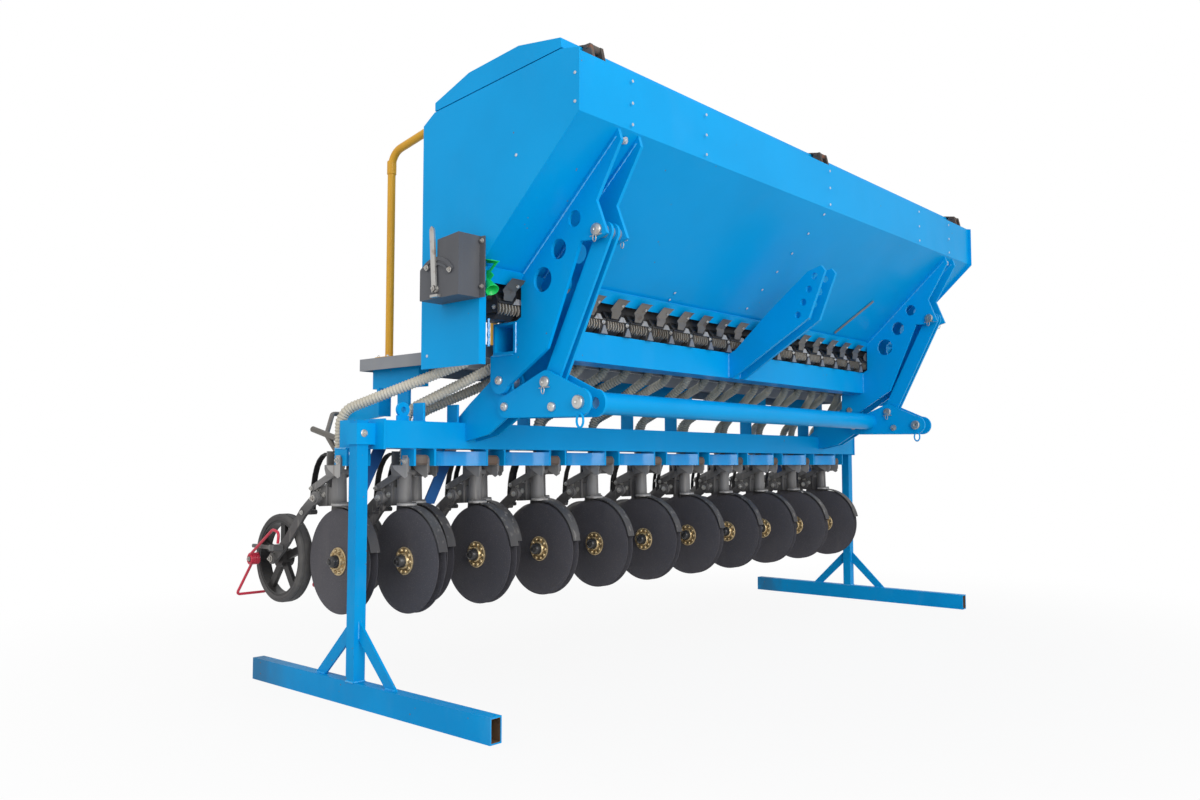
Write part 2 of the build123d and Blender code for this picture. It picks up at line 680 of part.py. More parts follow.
def make_tines(items):
    """Sprung wires that close the furrow behind the rear press wheels."""
    tines = []
    for x, hub_y in items:
        wheel_y = hub_y + press_back
        arm_face = x - arm_offset - trail_plate / 2
        side = arm_face - 14
        bottom = tine_end - tine_r
        coil_y = wheel_y + 104
        coil = bar_x(side - 18, side + 18, coil_y, press_z - 6, 20) - bar_x(side - 20, side + 20, coil_y, press_z - 6, 12)
        from_y, to_y, low, high = tine_foot
        upper = rod((side, hub_y + to_y - 6, high - 4), (side, coil_y - 14, press_z + 4), tine_r)
        foot = block(side - tine_r, arm_face - seat, hub_y + from_y, hub_y + to_y, low, high)
        leg = bent_rod([(side, coil_y + 12, press_z - 12), (side, bottom, tine_low), (x + 60, bottom, tine_low),
                        (x + 74, bottom, tine_low + 24)], [12, 10], tine_r)
        tines.append(coil + upper + foot + leg)
    return tines


def unit_x(i):
    """Place of a metering unit across the machine."""
    return (i - (unit_count - 1) / 2) * unit_pitch


def make_units():
    """Metering housings on the beam, under the hopper's outlet, each with its spout."""
    rear = unit_front + unit_deep
    outline = [
        (unit_front, beam_top + 22), (unit_front, unit_brow), (unit_front + 30, outlet_z - seat),
        (rear - 20, outlet_z - seat), (spout_y + spout_hold, unit_brow), (spout_y + spout_hold, unit_brow - 30),
        (beam_rear - 8, beam_top + seat), (unit_front + 30, beam_top + seat),
    ]
    units = []
    for i in range(unit_count):
        x = unit_x(i)
        spout = rod((x, spout_y, unit_brow - 20), (x, spout_y, spout_end), spout_r)
        units.append(side_plate(outline, x, unit_width) + spout)
    return units


def make_unit_levers():
    """Bent sheet levers on the front of the metering units."""
    line = [(unit_front - seat - 1.5 + back, z) for back, z in lever_line]
    return [side_plate(flat_outline(line, 1.5), unit_x(i), lever_width) for i in range(unit_count)]


def make_hoses():
    """Seed hoses from the metering units over the rails to the trunks."""
    hoses = []
    for i, (x, hub_y) in enumerate(coulters):
        down_y = hub_y + boot_back
        points = [(unit_x(i), spout_y, spout_end), (unit_x(i), spout_y, hose_drop), (x, down_y, hose_turn),
                  (x, down_y, boot_top)]
        hoses.append(bent_rod(points, hose_bends, hose_r))
    return hoses


def make_deck():
    """Folded sheet platform."""
    outer = block(-deck_half, deck_half, deck_front, deck_rear, deck_top - deck_fold, deck_top)
    inner = block(-deck_half + sheet, deck_half - sheet, deck_front + sheet, deck_rear - sheet,
                  deck_top - deck_fold - 1, deck_top - sheet)
    return outer - inner


def make_deck_supports():
    """Bearers under the deck on uprights from the rear rail; the near one carries the crank's bar."""
    back = rail_front + row_setback
    supports = []
    for x in deck_support_xs:
        bearer = block(x - 20, x + 20, bearer_front, bearer_rear, bearer_low, deck_top - sheet - seat)
        bearer += block(x - 5, x + 5, back + 12, back + 72, rail_top + seat, bearer_low + 2)
        supports.append(bearer)
    x, (bar_y, bar_z) = deck_support_xs[0], crank_bar[0]
    hanger = block(x - 25, x + 25, bar_y - 6, bar_y + 6, bar_z - crank_bar_half, bearer_low + 2)
    supports[0] += hanger + side_plate(flat_outline(crank_bar, crank_bar_half), x, 10)
    return supports


def make_crank():
    """Dog-leg handle with its grip and spindle down to a clevis on the rear rail."""
    face = deck_support_xs[0] - 5 - seat
    bar_y, bar_z = crank_bar[1]
    (y0, z0), (y1, z1) = crank_grip
    (ys, zs), (yf, zf) = crank_spindle
    rear = rail_rear + row_setback + seat
    handle = bent_rod([(face, bar_y - 20, bar_z + 6), (face - 60, bar_y - 20, bar_z + 6), (crank_x, ys, zs)], [25], 8)
    grip = rod((crank_x, y0, z0), (crank_x, y1, z1), 10)
    spindle = rod((crank_x, ys, zs), (crank_x, yf, zf), 9)
    clevis = side_plate([(rear + back, z) for z, back in crank_clevis], crank_x, 18)
    return handle + grip + spindle + clevis


def make_handrails():
    """Bent pipes from the deck to the hopper's rear wall."""
    wall = hopper_rear - flange
    rails = []
    for x in rail_posts:
        top_y = wall + seat + 7 + pipe_r
        pipe = bent_rod([(x, post_y, deck_top + 8), (x, post_y, elbow_z), (x, top_y, elbow_z + 56),
                         (x, top_y, elbow_z - 90)], [60, 40], pipe_r)
        foot = block(x - 35, x + 35, post_y - 35, post_y + 35, deck_top + seat, deck_top + 10)
        clamp = block(x - 20, x + 20, wall + seat, top_y, elbow_z - 95, elbow_z - 45)
        rails.append(pipe + foot + clamp)
    return rails


def make_drive_cover():
    """Stepped cover over the drive on the near end plate, with its bolted flange."""
    face = -hopper_half - end_plate / 2 - seat
    front = cover_outline[-1]
    cover = side_plate(cover_outline, face - cover_deep / 2, cover_deep)
    return cover + block(face - 4, face, front[0] - 22, front[0] + 1, front[1], cover_outline[-2][1] - 2)


def make_drive_lever():
    """Quadrant plate and lever on the cover's outer face."""
    face = -hopper_half - end_plate / 2 - cover_deep - 2 * seat
    pivot_y, pivot_z_low = lever_pivot
    low, high = (math.radians(a) for a in quadrant_span)
    sector = [lever_pivot, (pivot_y - 200 * math.cos(low), pivot_z_low + 200 * math.sin(low)),
              (pivot_y, pivot_z_low + 300), (pivot_y - 200 * math.cos(high), pivot_z_low + 200 * math.sin(high))]
    quadrant = bar_x(face - 4, face, *lever_pivot, quadrant_r[1]) - bar_x(face - 4, face, *lever_pivot, quadrant_r[0])
    quadrant = quadrant & side_plate(sector, face - 2, 6)
    lever = round_plate(
        flat_outline([lever_pivot, (pivot_y + 14, lever_top - 10)], 10), [(*lever_pivot, 12),
                                                                          (pivot_y + 14, lever_top - 10, 10)], [],
        face - 4 - 3, 6)
    boss = bar_x(face - 4, face, *lever_pivot, 10)
    return quadrant + lever + boss


def make_flap():
    """Calibration flap and funnel inside the near end plate."""
    wall = -hopper_half + end_plate / 2 + seat
    flap = side_plate(flap_outline, flap_x, 4)
    flap += block(wall, flap_x, flap_outline[0][0] - 8, flap_outline[0][0], flap_outline[-1][1], flap_outline[0][1])
    start = (flap_x, flap_outline[-1][0] - 8, funnel_end[1] + 34)
    end = (flap_x, *funnel_end)
    run = Vector(*end) - Vector(*start)
    lay = Plane(Vector(*start) + run * 0.5, z_dir=run)
    return flap + lay * Cone(9, funnel_r, run.length) - lay * Cone(6, funnel_r - 3, run.length)


def make_stands():
    """Posts with sockets at the rail's ends, on open foot tubes."""
    stands = []
    for side in (-1, 1):
        x = side * stand_x
        half = post_side / 2
        post = block(x - half, x + half, post_centre - half, post_centre + half, foot_height - 1, post_top)
        core = half - post_wall
        post -= block(x - core, x + core, post_centre - core, post_centre + core, foot_height, post_top + 1)
        foot = block(x - half, x + half, foot_front, foot_rear, 0, foot_height)
        foot -= block(x - core, x + core, foot_front - 1, foot_rear + 1, post_wall, foot_height - post_wall)
        gussets = []
        for way in (-1, 1):
            y0 = post_centre + way * half
            outline = [(y0 - way, gusset_top), (y0 - way, gusset_top - gusset_wide),
                       (y0 + way * (gusset_reach - gusset_wide - 10), foot_height - 1),
                       (y0 + way * (gusset_reach - 15), foot_height - 1)]
            gussets.append(side_plate(outline, x, gusset_plate))
        stands.append(post + foot + gussets[0] + gussets[1])
    return stands


def make_sockets():
    """Sockets on the rail's ends that hold the stands' posts."""
    sockets = []
    for side in (-1, 1):
        x0, x1 = rail_half + rail_cap / 2, stand_x + post_side / 2 + 6
        half = post_side / 2 + seat
        shell = block(min(side * x0, side * x1), max(side * x0, side * x1), post_centre - half - 6, post_centre + half + 6,
                      rail_base + 10, rail_top - 10)
        x = side * stand_x
        shell -= block(x - half, x + half, post_centre - half, post_centre + half, 0, post_top)
        sockets.append(shell)
    return sockets


def write(name, shapes):
    """Write one node's solids to its own file."""
    solids = []
    for shape in shapes if isinstance(shapes, list) else [shapes]:
        solids += shape.solids()
    node = solids[0] if len(solids) == 1 else Compound(children=solids)
    node.label = name
    export_step(node, f"parts/{name}.step")
    print(name, len(solids))


def main():
    os.makedirs("parts", exist_ok=True)
    write("hopper_shell", make_hopper_shell())
    write("hopper_ends", make_hopper_ends())
    write("lid", make_lid())
    write("lid_straps", make_lid_straps())
    write("hinge_brackets", make_hinge_brackets())
    write("headstock_beam", make_beam())
    write("side_brackets", make_side_brackets())
    write("links", make_links())
    write("coupling_arms", make_coupling_arms())
    write("rail_brackets", make_rail_brackets())
    write("coupling_pins", make_coupling_pins())
    write("cross_tube", make_cross_tube())
    write("top_link_bracket", make_top_bracket())
    write("front_rail", make_rail(0))
    write("rear_rail", make_rail(row_setback))
    write("rail_ties", make_rail_ties())
    write("coulter_lugs", make_lugs())
    write("bowed_plates", make_bowed_plates())
    rows = {"front": [(x, hub_front_y) for x in front_xs],
            "rear": [(x, hub_front_y + row_setback) for x in rear_xs]}
    for row, items in rows.items():
        write(f"{row}_coulters", [make_coulter(x, y) for x, y in items])
        write(f"{row}_tyres", make_tyres(items))
        write(f"{row}_rims", make_rims(items))
    write("spring_straps", make_straps(coulters))
    for i, (x, y) in enumerate(coulters, 1):
        write(f"disc_pair_{i:02d}", make_disc_pair(x, y))
    write("covering_tines", make_tines(rows["rear"]))
    write("metering_units", make_units())
    write("unit_levers", make_unit_levers())
    write("seed_hoses", make_hoses())
    write("deck", make_deck())
    write("deck_supports", make_deck_supports())
    write("crank", make_crank())
    write("handrails", make_handrails())
    write("drive_cover", make_drive_cover())
    write("drive_lever", make_drive_lever())
    write("calibration_flap", make_flap())
    write("stands", make_stands())
    write("stand_sockets", make_sockets())


if __name__ == "__main__":
    main()
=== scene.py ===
"""Dresses the seed drill: finishes for its CAD pieces, and the fine pieces that ride on them."""

import json
import logging
import math
from dataclasses import dataclass, field
from enum import Enum

import bmesh
import bpy
import numpy as np
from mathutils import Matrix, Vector

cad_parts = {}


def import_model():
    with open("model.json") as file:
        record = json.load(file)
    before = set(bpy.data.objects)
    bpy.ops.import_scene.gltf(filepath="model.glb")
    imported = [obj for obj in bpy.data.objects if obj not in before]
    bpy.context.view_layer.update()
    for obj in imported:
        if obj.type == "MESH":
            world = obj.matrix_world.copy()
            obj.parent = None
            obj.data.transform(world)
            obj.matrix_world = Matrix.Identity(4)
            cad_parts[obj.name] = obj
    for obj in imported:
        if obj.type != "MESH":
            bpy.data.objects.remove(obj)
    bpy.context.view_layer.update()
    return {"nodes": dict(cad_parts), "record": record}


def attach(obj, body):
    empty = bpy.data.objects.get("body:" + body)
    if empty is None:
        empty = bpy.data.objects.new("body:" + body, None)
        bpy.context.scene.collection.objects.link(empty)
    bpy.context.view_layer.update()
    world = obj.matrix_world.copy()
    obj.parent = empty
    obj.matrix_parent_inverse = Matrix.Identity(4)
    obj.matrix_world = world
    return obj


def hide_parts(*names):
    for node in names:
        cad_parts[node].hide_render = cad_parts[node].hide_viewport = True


log = logging.getLogger("seed_drill")

Colour = tuple[float, float, float]
Point = tuple[float, float, float]
Array = np.ndarray
Socket = bpy.types.NodeSocket

MADE: dict[str, bpy.types.Material] = {}
SIDES = (-1.0, 1.0)
NEAR, FAR = (-1.0, 0.0, 0.0), (1.0, 0.0, 0.0)
FRONT, UP, DOWN = (0.0, -1.0, 0.0), (0.0, 0.0, 1.0), (0.0, 0.0, -1.0)


class Pattern(Enum):
    """What a finish shows besides its colour."""

    PAINT = "sprayed paint with faint orange peel, dust and small chips"
    CAST = "painted casting with drip marks down it"
    RUBBER = "rubber with dust in its pores"
    PLASTIC = "moulded plastic with a fine grain"
    PLATED = "plated or machined steel with rust bloom"
    SOIL = "dark steel with fine scattered grit"


# Noise behind the marks: scale, detail, stretch along Z, and where the marks start and are full
MARKS: dict[Pattern, tuple[float, float, float, float, float]] = {
    Pattern.PLATED: (38.0, 5.0, 1.0, 0.54, 0.72),
    Pattern.CAST: (64.0, 3.0, 0.10, 0.56, 0.70),
    Pattern.SOIL: (310.0, 2.0, 1.0, 0.60, 0.68),
}


def feed(tree: bpy.types.NodeTree, node: bpy.types.Node, inputs: dict) -> None:
    """Gives inputs of a shader node their values or links.

    Args:
        tree: The node's tree.
        node: The node.
        inputs: A value, or a socket to link, for each input by name or number.
    """
    for name, value in inputs.items():
        if isinstance(value, Socket):
            tree.links.new(value, node.inputs[name])
        else:
            node.inputs[name].default_value = value


def wire(tree: bpy.types.NodeTree, kind: str, out: str | int, inputs: dict, **settings: str) -> Socket:
    """Adds a shader node.

    Args:
        tree: The tree that it joins.
        kind: Its type, without the word ShaderNode.
        out: The output that is wanted, by name or number.
        inputs: A value, or a socket to link, for each input by name or number.
        settings: Attributes of the node, such as its operation.

    Returns:
        The output.
    """
    node = tree.nodes.new(f"ShaderNode{kind}")
    for name, value in settings.items():
        setattr(node, name, value)
    feed(tree, node, inputs)
    return node.outputs[out]


@dataclass(frozen=True)
class Finish:
    """One finish, written as a procedural material.

    The colour is a blend of two tones by a broad noise, dulled by dust where a second noise is high,
    and then marked in the way that its pattern names. Its fade blends a further tone in along one axis,
    between two places on it, up to a top share.
    """

    name: str
    tone: Colour
    deep: Colour
    pattern: Pattern
    roughness: float = 0.4
    metallic: float = 0.0
    coat: float = 0.0
    specular: float = 0.3
    dust: float = 0.15
    dust_tone: Colour = (0.45, 0.42, 0.37)
    marks: float = 0.0
    mark_tone: Colour = (0.16, 0.10, 0.07)
    grain: float = 220.0
    relief: float = 0.05
    slot: str = ""
    fade: tuple[int, float, float, float] = (2, 0.0, 1.0, 0.0)
    fade_tone: Colour = (0.2, 0.2, 0.2)

    def material(self) -> bpy.types.Material:
        """Makes the finish's material on first use.

        Returns:
            The material, with its colour, roughness and bump driven by noise on Object coordinates.
        """
        if self.name in MADE:
            return MADE[self.name]
        made = bpy.data.materials.new(f"{self.name}_finish")
        MADE[self.name] = made
        made.use_nodes = True
        made.diffuse_color = (*self.tone, 1.0)
        tree = made.node_tree
        place = wire(tree, "TexCoord", "Object", {})

        def noise(scale: float, detail: float, tall: float = 1.0) -> Socket:
            """Returns a noise between 0 and 1 at that scale, drawn out along Z."""
            turn = wire(tree, "Mapping", "Vector", {"Vector": place, "Scale": (1.0, 1.0, tall)})
            return wire(tree, "TexNoise", "Fac", {"Vector": turn, "Scale": scale, "Detail": detail})

        def ramp(source: Socket, low: float, high: float, top: float = 1.0) -> Socket:
            """Returns 0 below low and top above high, with a smooth step between."""
            limits = {"Value": source, "From Min": low, "From Max": high, "To Max": top}
            return wire(tree, "MapRange", "Result", limits, interpolation_type="SMOOTHSTEP")

        def product(first: Socket, second: Socket) -> Socket:
            """Returns the first share times the second."""
            return wire(tree, "Math", "Value", {0: first, 1: second}, operation="MULTIPLY")

        def mix(share: Socket, under: Colour | Socket, over: Colour) -> Socket:
            """Returns the colour under, covered by the colour over where share is high."""
            parts = {"Factor": share, "A": (*under, 1.0) if isinstance(under, tuple) else under,
                     "B": (*over, 1.0)}
            return wire(tree, "Mix", "Result", parts, data_type="RGBA")

        patches = noise(9.0, 6.0, 0.45)
        colour = mix(ramp(noise(3.1, 4.0), 0.35, 0.68), self.tone, self.deep)
        colour = mix(ramp(patches, 0.52, 0.78, self.dust), colour, self.dust_tone)
        axis, near, far, top = self.fade
        if top:
            along = ramp(wire(tree, "SeparateXYZ", axis, {"Vector": place}), near, far, top)
            colour = mix(product(along, ramp(patches, 0.30, 0.52)), colour, self.fade_tone)
        if self.marks and self.pattern is Pattern.PAINT:
            chips = ramp(wire(tree, "TexVoronoi", "Distance", {"Vector": place, "Scale": 46.0}), 0.16, 0.05)
            rare = ramp(noise(14.0, 3.0), 0.72 - 0.2 * self.marks, 0.78 - 0.2 * self.marks)
            colour = mix(product(chips, rare), colour, self.mark_tone)
        elif self.marks and self.pattern in MARKS:
            scale, detail, tall, low, high = MARKS[self.pattern]
            colour = mix(ramp(noise(scale, detail, tall), low, high, self.marks), colour, self.mark_tone)
        feed(tree, tree.nodes["Principled BSDF"], {
            "Metallic": self.metallic, "Specular IOR Level": self.specular, "Coat Weight": self.coat,
            "Coat Roughness": 0.12, "Base Color": colour,
            "Roughness": wire(tree, "MapRange", "Result", {"Value": patches, "To Min": self.roughness - 0.08,
                                                           "To Max": self.roughness + 0.14}),
            "Normal": wire(tree, "Bump", "Normal", {"Strength": self.relief, "Distance": 0.002,
                                                    "Height": noise(self.grain, 3.0)}),
        })
        return made


BLUE = Finish("blue_paint", (0.0, 0.365, 0.800), (0.0, 0.340, 0.750), Pattern.PAINT, 0.36, coat=0.02,
              specular=0.10, dust=0.015, marks=0.4)
BLACK = Finish("black_paint", (0.018, 0.018, 0.020), (0.030, 0.028, 0.027), Pattern.PAINT, 0.42, dust=0.1)
ZINC = Finish("zinc", (0.62, 0.62, 0.60), (0.44, 0.42, 0.39), Pattern.PLATED, 0.34, 0.8, marks=0.45,
              mark_tone=(0.23, 0.12, 0.055))
CAST = Finish("cast_grey", (0.092, 0.092, 0.098), (0.150, 0.148, 0.145), Pattern.CAST, 0.52, 0.15, dust=0.25,
              marks=0.5, mark_tone=(0.30, 0.29, 0.27), grain=420.0, relief=0.35)
RUBBER = Finish("tyre_rubber", (0.070, 0.068, 0.070), (0.110, 0.106, 0.105), Pattern.RUBBER, 0.72, dust=0.3,
                grain=600.0, relief=0.2)
PLASTIC = Finish("black_plastic", (0.024, 0.024, 0.026), (0.038, 0.036, 0.035), Pattern.PLASTIC, 0.42,
                 grain=500.0, relief=0.15)
RED = Finish("red_paint", (0.66, 0.038, 0.080), (0.58, 0.028, 0.060), Pattern.PAINT, 0.38, coat=0.1, dust=0.1)
# The hoses' fade is painted shade: past the near end, under the beam, the hoses darken in patches towards a
# dark grey.
HOSE = Finish("hose_plastic", (0.60, 0.56, 0.47), (0.50, 0.46, 0.37), Pattern.PLASTIC, 0.42, dust=0.2,
              fade=(0, -1.14, -0.94, 0.85), fade_tone=(0.23, 0.24, 0.21))
GREY = Finish("grey_paint", (0.250, 0.262, 0.285), (0.300, 0.310, 0.330), Pattern.PAINT, 0.48, dust=0.2,
              marks=0.4)
YELLOW = Finish("yellow_paint", (0.80, 0.42, 0.028), (0.72, 0.36, 0.024), Pattern.PAINT, 0.38, coat=0.1,
                marks=0.3)
DARK = Finish("dark_paint", (0.086, 0.090, 0.102), (0.106, 0.110, 0.122), Pattern.PAINT, 0.42, dust=0.06)
DISC = Finish("disc_steel", (0.076, 0.074, 0.086), (0.094, 0.090, 0.102), Pattern.SOIL, 0.60, 0.1, dust=0.06,
              marks=0.5, mark_tone=(0.19, 0.18, 0.185), grain=900.0, relief=0.5)
GREEN = Finish("green_plastic", (0.015, 0.72, 0.16), (0.01, 0.60, 0.12), Pattern.PLASTIC, 0.3, coat=0.2)
SLOTS: dict[str, Finish] = {finish.name: finish for finish in (
    BLUE, BLACK, ZINC, CAST, RUBBER, PLASTIC, RED, HOSE, GREY, YELLOW, DARK, DISC, GREEN)}

# Shades of those finishes for single pieces
GOLD = Finish("gold_plate", (0.68, 0.53, 0.30), (0.44, 0.33, 0.18), Pattern.PLATED, 0.34, 0.65, dust=0.1,
              marks=0.5, mark_tone=(0.10, 0.06, 0.035), slot="zinc")
SATIN = Finish("satin_cap", (0.034, 0.034, 0.037), (0.052, 0.050, 0.048), Pattern.PLATED, 0.26, 0.3,
               specular=0.5, dust=0.1, slot="cast_grey")
GLOSS = Finish("blue_gloss", (0.0, 0.350, 0.810), (0.0, 0.330, 0.780), Pattern.PAINT, 0.20, coat=0.35,
               marks=0.3, slot="blue_paint")
# The fade darkens the blue towards the stands' rear ends.
WORN = Finish("blue_worn", (0.0, 0.325, 0.730), (0.0, 0.280, 0.650), Pattern.PAINT, specular=0.10, dust=0.05,
              marks=0.9, slot="blue_paint", fade=(1, 0.26, 0.56, 0.6), fade_tone=(0.045, 0.115, 0.20))
COULTER = Finish("coulter_casting", (0.070, 0.068, 0.072), (0.120, 0.116, 0.113), Pattern.CAST, 0.50, 0.15,
                 dust=0.2, marks=0.5, mark_tone=(0.34, 0.32, 0.30), grain=420.0, relief=0.35,
                 slot="cast_grey", fade=(2, 0.575, 0.615, 1.0), fade_tone=(0.215, 0.210, 0.208))
EAR = Finish("ear_plate", (0.460, 0.450, 0.440), (0.340, 0.330, 0.320), Pattern.CAST, 0.45, 0.2, marks=0.4,
             mark_tone=(0.13, 0.10, 0.08), slot="cast_grey")
HINGE = Finish("worn_black", (0.040, 0.036, 0.034), (0.075, 0.055, 0.045), Pattern.PLATED, 0.50, marks=0.8,
               mark_tone=(0.26, 0.085, 0.035), slot="black_paint")
# Weld beads in a glossier blue than the paint: the coat gives real gloss, and their lighter tone is a painted
# highlight that stands in for glints.
HIGHLIT_WELD = Finish("highlit_weld_paint", (0.030, 0.420, 0.830), (0.0, 0.360, 0.780), Pattern.PAINT, 0.16, coat=0.6,
              specular=0.5, slot="blue_paint")
# A darker copy of the blue paint for the rear struts: painted shade, as they stand deep under the rail.
SHADED_STRUT = Finish("shaded_strut_paint", (0.022, 0.120, 0.360), (0.018, 0.100, 0.310), Pattern.PAINT, 0.45, dust=0.1,
               slot="blue_paint")
STRIP = Finish("grey_strip", (0.235, 0.235, 0.240), (0.180, 0.180, 0.185), Pattern.PLASTIC, 0.45,
               slot="grey_paint")
LEVER = Finish("lever_sheet", (0.150, 0.140, 0.125), (0.200, 0.185, 0.170), Pattern.PLATED, 0.40, 0.4,
               marks=0.5, mark_tone=(0.09, 0.055, 0.035), slot="zinc")
COMB = Finish("brass_comb", (0.42, 0.38, 0.32), (0.20, 0.18, 0.15), Pattern.PLATED, 0.42, 0.4, marks=0.5,
              mark_tone=(0.20, 0.095, 0.045), slot="zinc")
DULL = Finish("dull_sheet", (0.26, 0.28, 0.31), (0.20, 0.21, 0.23), Pattern.PLATED, 0.42, 0.3, dust=0.2,
              marks=0.2, mark_tone=(0.20, 0.12, 0.06), slot="zinc")
BUSH = Finish("worn_rubber", (0.110, 0.092, 0.080), (0.19, 0.130, 0.095), Pattern.PLATED, 0.70, dust=0.4,
              marks=0.6, mark_tone=(0.24, 0.130, 0.070), slot="cast_grey")
RUST = Finish("rusty_ring", (0.16, 0.105, 0.065), (0.23, 0.125, 0.060), Pattern.PLATED, 0.65, 0.3, marks=0.5,
              mark_tone=(0.07, 0.05, 0.04), slot="cast_grey")
PALE = Finish("pale_rivet", (0.62, 0.66, 0.70), (0.50, 0.54, 0.58), Pattern.PLATED, 0.35, 0.3, slot="zinc")


def unit(vector: Array) -> Array:
    """Returns the vector at length one."""
    return vector / np.linalg.norm(vector, axis=-1, keepdims=True)


def cross_frame(direction: Array) -> tuple[Array, Array]:
    """Finds two directions square to the given one and to each other.

    The first is square to X, or to Z where the direction runs along X.

    Args:
        direction: One direction, or one for each row.

    Returns:
        The two cross directions, in the same shape.
    """
    along = np.abs(direction[..., :1]) > 0.9
    guide = np.where(along, np.array(UP), np.array(FAR))
    first = unit(np.cross(direction, guide))
    return first, np.cross(direction, first)


def lathe(profile: list, centre: Point, direction: Point = FAR, sides: int = 32) -> Array:
    """Turns a profile about an axis: each (along, radius) pair becomes a ring of that radius, that far along.

    Args:
        profile: Pairs of distance along the axis and radius.
        centre: Where the axis starts.
        direction: Which way the axis runs.
        sides: Points on each ring, 6 for a hexagon.

    Returns:
        Rings of points, one row for each pair.
    """
    pairs = np.array(profile, float)
    axis = unit(np.array(direction, float))
    first, second = cross_frame(axis)
    turn = np.linspace(0.0, 2 * math.pi, sides, endpoint=False)
    ring = np.cos(turn)[:, None] * first + np.sin(turn)[:, None] * second
    return np.array(centre) + pairs[:, :1, None] * axis + pairs[:, 1:, None] * ring[None]


def tube(path: Array, radius: Array | float, sides: int = 16, slope: Array | None = None) -> Array:
    """Sweeps a circle along a path: each point carries a ring square to the path's slope there.

    Args:
        path: Points of the middle line.
        radius: One radius, or one for each point.
        sides: Points on each ring.
        slope: The path's direction at each point, where it isn't that of an open line.

    Returns:
        Rings of points, one row for each point of the path.
    """
    first, second = cross_frame(unit(np.gradient(path, axis=0)) if slope is None else slope)
    turn = np.linspace(0.0, 2 * math.pi, sides, endpoint=False)
    size = np.broadcast_to(np.asarray(radius, float), (len(path),))[:, None, None]
    ring = np.cos(turn)[None, :, None] * first[:, None] + np.sin(turn)[None, :, None] * second[:, None]
    return path[:, None] + size * ring


def eased(corners: list[Point], radii: tuple[float, ...], step: float) -> Array:
    """Joins straight runs by arcs and samples the line evenly.

    At each inner corner the arc leaves the run at radius times the tangent of half the turn, and its
    points are the centre plus the radius along the directions between the two ends.

    Args:
        corners: Points of the runs.
        radii: One arc radius for each inner corner.
        step: Distance between samples.

    Returns:
        Points along the line.
    """
    points = np.array(corners, float)
    line = [points[:1]]
    for corner, radius in zip(range(1, len(points) - 1), radii):
        before = unit(points[corner] - points[corner - 1])
        after = unit(points[corner + 1] - points[corner])
        turn = math.acos(float(np.clip(before @ after, -1.0, 1.0)))
        start = points[corner] - before * radius * math.tan(turn / 2)
        inward = unit(after - before * float(before @ after))
        sweep = np.linspace(0.0, turn, 12)[:, None]
        line.append(start + radius * np.sin(sweep) * before + radius * (1 - np.cos(sweep)) * inward)
    line.append(points[-1:])
    dense = np.concatenate(line)
    run = np.concatenate([[0.0], np.cumsum(np.linalg.norm(np.diff(dense, axis=0), axis=1))])
    places = np.linspace(0.0, run[-1], max(int(run[-1] / step), 2) + 1)
    return np.stack([np.interp(places, run, dense[:, axis]) for axis in range(3)], axis=1)


def stacked(outlines: list, axis: int) -> Array:
    """Sets flat outlines up one after another along an axis.

    Args:
        outlines: Pairs of an outline, in the plane square to the axis, and its place on the axis.
        axis: 0 for X, 1 for Y, 2 for Z.

    Returns:
        One row of points for each outline.
    """
    rings = np.zeros((len(outlines), len(outlines[0][0]), 3))
    first, second = (a for a in (0, 1, 2) if a != axis)
    for row, (shape, place) in enumerate(outlines):
        flat = np.array(shape, float)
        rings[row, :, first], rings[row, :, second], rings[row, :, axis] = flat[:, 0], flat[:, 1], place
    return rings


def prism(outline: list, start: float, end: float, soft: float = 0.0, axis: int = 0) -> Array:
    """Carries an outline straight from start to end, drawn in a little at both ends to soften the rim.

    Args:
        outline: Corners in the plane square to the axis.
        start: Where the shape begins on the axis.
        end: Where it ends.
        soft: How far the rim is drawn in.
        axis: 0 for X, 1 for Y, 2 for Z.

    Returns:
        Four rings of corners.
    """
    flat = np.array(outline, float)
    middle = flat.mean(axis=0)
    reach = np.linalg.norm(flat - middle, axis=1, keepdims=True)
    drawn = middle + (flat - middle) * (1 - soft / np.maximum(reach, 1e-6))
    return stacked([(drawn, start), (flat, start + soft), (flat, end - soft), (drawn, end)], axis)


def sleeve(outer: list, inner: list, start: float, end: float, axis: int = 0) -> Array:
    """Carries a ring between two outlines with as many corners straight from start to end.

    Args:
        outer: Outer corners in the plane square to the axis.
        inner: Inner corners.
        start: Where the sleeve begins on the axis.
        end: Where it ends.
        axis: 0 for X, 1 for Y, 2 for Z.

    Returns:
        Five rows that run round the wall, the last on the first.
    """
    return stacked([(outer, start), (outer, end), (inner, end), (inner, start), (outer, start)], axis)


def hoop(centre: Point, wide: float, high: float, wire: float) -> Array:
    """Bends a wire into an oval that stands across X: cosine times wide along Y, sine times high along Z.

    Args:
        centre: The oval's middle.
        wide: Half its width.
        high: Half its height.
        wire: Radius of the wire.

    Returns:
        Rings of points round the oval, the last on the first.
    """
    turn = np.linspace(0.0, 2 * math.pi, 24, endpoint=False)
    path = np.array(centre) + np.stack([0 * turn, wide * np.cos(turn), high * np.sin(turn)], axis=1)
    rings = tube(path, wire, 8, unit(np.roll(path, -1, axis=0) - np.roll(path, 1, axis=0)))
    return np.concatenate([rings, rings[:1]])


